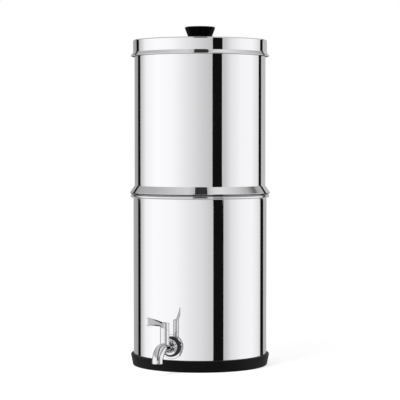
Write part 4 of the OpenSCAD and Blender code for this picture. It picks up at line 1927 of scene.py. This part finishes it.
@dataclass
class Studio:
    """White room with dark upright flags beside the lamps, and a pale floor.

    Attributes:
        eye: The camera, from whose direction azimuths are counted, in degrees to the right.
        high_walls: Azimuth and level of the walls that the upper chamber shows.
        low_walls: The same for the lower chamber.
        ceiling: Place across and level of the ceiling at a height of 1.
        ceiling_w: Width that those places are taken from.
        lowest: Rise under which the ceiling's places no longer move out.
        flags: The flags beside the lamps.
        flag_grey: Their level.
        seam: Rise of a direction below which the lower walls start.
        flag_foot: Rise from which the flags lean.
        walls_end: Rises between which the walls pass into the ceiling.
        floor_start: Rises between which the walls pass into the floor.
        floor_grey: Level of the floor in reflections.
        boom: Places across and along that the camera's boom covers on the ceiling.
        boom_rise: Rise of a direction above which it shows.
        rig: Azimuths, and rises above and below the level, that the camera's stand covers.
        rig_grey: Their colour.
        floor_side: Half the side of the floor, in metres.
        floor_pale: Colour of the floor to the camera.
        floor_glow: What keeps it white there.
        floor_plain: Its colour to the filter.
        floor_drop: How far it lies under the filter, in metres.
    """

    eye: PhotoCamera
    high_walls: Sequence[Point] = (
        *((-180.0, 0.5), (-142.0, 0.36), (-125.0, 0.6), (-108.0, 1.0), (-82.0, 1.12), (-49.0, 1.07)),
        *((-20.0, 0.87), (1.0, 0.72), (22.0, 0.6), (43.0, 0.62), (55.0, 0.87), (75.0, 1.03)),
        *((100.0, 1.06), (118.0, 0.87), (136.0, 0.55), (180.0, 0.58)),
    )
    low_walls: Sequence[Point] = (
        *((-180.0, 0.52), (-138.0, 0.37), (-121.0, 0.58), (-108.0, 1.0), (-87.0, 1.1), (-42.0, 1.05)),
        *((-18.0, 0.91), (2.0, 0.81), (22.0, 0.65), (44.0, 0.58), (55.0, 0.84), (75.0, 1.01)),
        *((100.0, 1.05), (118.0, 0.91), (140.0, 0.49), (180.0, 0.52)),
    )
    ceiling: Sequence[Point] = (
        *((-1.6, 0.36), (-1.25, 0.48), (-1.05, 0.5), (-0.5, 0.66), (-0.25, 0.7), (-0.15, 0.56)),
        *((0.18, 0.53), (0.25, 0.68), (0.336, 0.77), (0.48, 0.81), (0.85, 0.66), (1.09, 0.47)),
        *((1.25, 0.17), (1.3, 0.16), (1.35, 0.36), (1.6, 0.36)),
    )
    ceiling_w: float = 4.0
    lowest: float = 0.05
    flags: Sequence[Flag] = (
        Flag((-140.6, -129.0), (-134.9, -124.3), -60.0),
        Flag((21.5, 38.7), (22.6, 40.7), 0.0),
        Flag((125.2, 136.1), (127.9, 141.6), 57.0),
    )
    flag_grey: float = 0.006
    seam: float = -0.036
    flag_foot: float = 0.05
    walls_end: Point = (0.34, 0.5)
    floor_start: Point = (-0.3, -0.55)
    floor_grey: float = 0.45
    boom: tuple[Point, Point] = ((-0.112, 0.164), (-0.6, 0.58))
    boom_rise: float = 0.5
    rig: tuple[Point, Point, Point] = ((-12.4, 13.4), (0.13, 0.866), (-0.5, -0.15))
    rig_grey: tuple[float, float, float, float] = (0.033, 0.033, 0.035, 1.0)
    floor_side: float = 14.0
    floor_pale: float = 0.6
    floor_glow: float = 0.68
    floor_plain: float = 0.8
    floor_drop: float = 0.0002

    def world(self) -> None:
        """Makes the light that comes from all round, brighter and darker by direction."""
        world = bpy.data.worlds.new("Studio")
        bpy.context.scene.world = world
        world.use_nodes = True
        sky = Sky(world.node_tree)
        sky.tree.nodes.clear()
        ray = sky.node("ShaderNodeTexCoord").outputs["Generated"]
        across = sky.vector("DOT_PRODUCT", ray, self.eye.right())
        along = sky.vector("DOT_PRODUCT", ray, self.eye.toward())
        up = sky.node("ShaderNodeSeparateXYZ", {0: ray}).outputs[2]
        azimuth = sky.math("ARCTAN2", across, along)
        turned = sky.math("MULTIPLY", azimuth, 180 / math.pi)
        walls = self.walls(sky, azimuth, turned, up)
        safe = sky.math("MAXIMUM", up, self.lowest)
        over_x, over_y = (sky.math("DIVIDE", way, safe) for way in (across, along))
        stops = [(place / self.ceiling_w + 0.5, level) for place, level in self.ceiling]
        ceiling = sky.ramp(sky.math("MULTIPLY_ADD", over_x, 1 / self.ceiling_w, 0.5), stops)
        sides = [sky.between(over, *span) for over, span in zip((over_x, over_y), self.boom)]
        overhead = sky.math("GREATER_THAN", up, self.boom_rise)
        boom = sky.math("MULTIPLY", sky.math("MULTIPLY", *sides), overhead)
        spans = [sky.between(up, *rises) for rises in self.rig[1:]]
        rig = sky.math("MULTIPLY", sky.between(turned, *self.rig[0]), sky.math("MAXIMUM", *spans))
        room = sky.over(sky.eased(up, *self.walls_end), walls, ceiling)
        room = sky.over(sky.eased(up, *self.floor_start), room, self.floor_grey)
        room = sky.over(sky.math("MAXIMUM", rig, boom), room, self.rig_grey)
        lit = sky.out("ShaderNodeBackground", {0: room, 1: 1.0})
        seen = sky.out("ShaderNodeBackground", {0: (1, 1, 1, 1), 1: 1.0})
        path = sky.node("ShaderNodeLightPath").outputs["Is Camera Ray"]
        sky.node("ShaderNodeOutputWorld", {0: sky.out("ShaderNodeMixShader", {0: path, 1: lit, 2: seen})})

    def walls(self, sky: Sky, azimuth: NodeSocket, turned: NodeSocket, up: NodeSocket) -> NodeSocket:
        """Adds the walls with their flags.

        Args:
            sky: The tree.
            azimuth: Azimuth of the direction in radians.
            turned: The same in degrees.
            up: Rise of the direction.

        Returns:
            Their light.
        """
        share = sky.math("MULTIPLY_ADD", azimuth, 1 / (2 * math.pi), 0.5)
        sunk = sky.math("LESS_THAN", up, self.seam)
        high_stops, low_stops = (
            [((a + 180) / 360, level) for a, level in wall] for wall in (self.high_walls, self.low_walls)
        )
        walls = sky.over(sunk, sky.ramp(share, high_stops), sky.ramp(share, low_stops))
        rise = sky.math("MAXIMUM", sky.math("SUBTRACT", up, self.flag_foot), 0.0)
        for flag in self.flags:
            pairs = zip(flag.high, flag.low)
            edges = [sky.math("MULTIPLY_ADD", sunk, low - high, high) for high, low in pairs]
            covered = sky.between(sky.math("MULTIPLY_ADD", rise, -flag.lean, turned), *edges)
            walls = sky.over(covered, walls, self.flag_grey)
        return walls

    def floor(self) -> None:
        """Makes the pale floor, which stays white to the camera and keeps the filter's shadow."""
        mesh = bpy.data.meshes.new("Floor")
        side = self.floor_side
        square = [(-side, -side, 0), (side, -side, 0), (side, side, 0), (-side, side, 0)]
        mesh.from_pydata(square, [], [(0, 1, 2, 3)])
        floor = placed("Floor", mesh)
        floor.location.z = -self.floor_drop
        floor.visible_glossy = False
        material = bpy.data.materials.new("Floor")
        material.use_nodes = True
        kit = NodeKit(material.node_tree)
        kit.tree.nodes.clear()
        tones = [(tone, tone, tone, 1) for tone in (self.floor_pale, self.floor_plain)]
        pale, plain = (kit.out("ShaderNodeBsdfDiffuse", {0: tone}) for tone in tones)
        glow = kit.out("ShaderNodeEmission", {1: self.floor_glow})
        seen = kit.out("ShaderNodeAddShader", {0: pale, 1: glow})
        path = kit.node("ShaderNodeLightPath").outputs["Is Camera Ray"]
        mixed = kit.out("ShaderNodeMixShader", {0: path, 1: plain, 2: seen})
        kit.node("ShaderNodeOutputMaterial", {0: mixed})
        mesh.materials.append(material)

    def build(self) -> None:
        """Makes the room, the floor and the lamp."""
        bpy.context.scene.view_settings.view_transform = "Standard"
        self.world()
        self.floor()
        Lamp().build(self.eye)


def main() -> None:
    """Builds the studio and the filter."""
    logging.basicConfig(level=logging.INFO, format="%(message)s")
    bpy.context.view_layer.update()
    eye = PhotoCamera()
    eye.build()
    Studio(eye).build()
    for unit in (LowerUnit(), UpperShell(), LidUnit(), Tap(), Elements()):
        unit.build()
        LOG.info("built %s", type(unit).__name__)


if __name__ == "__main__":
    main()
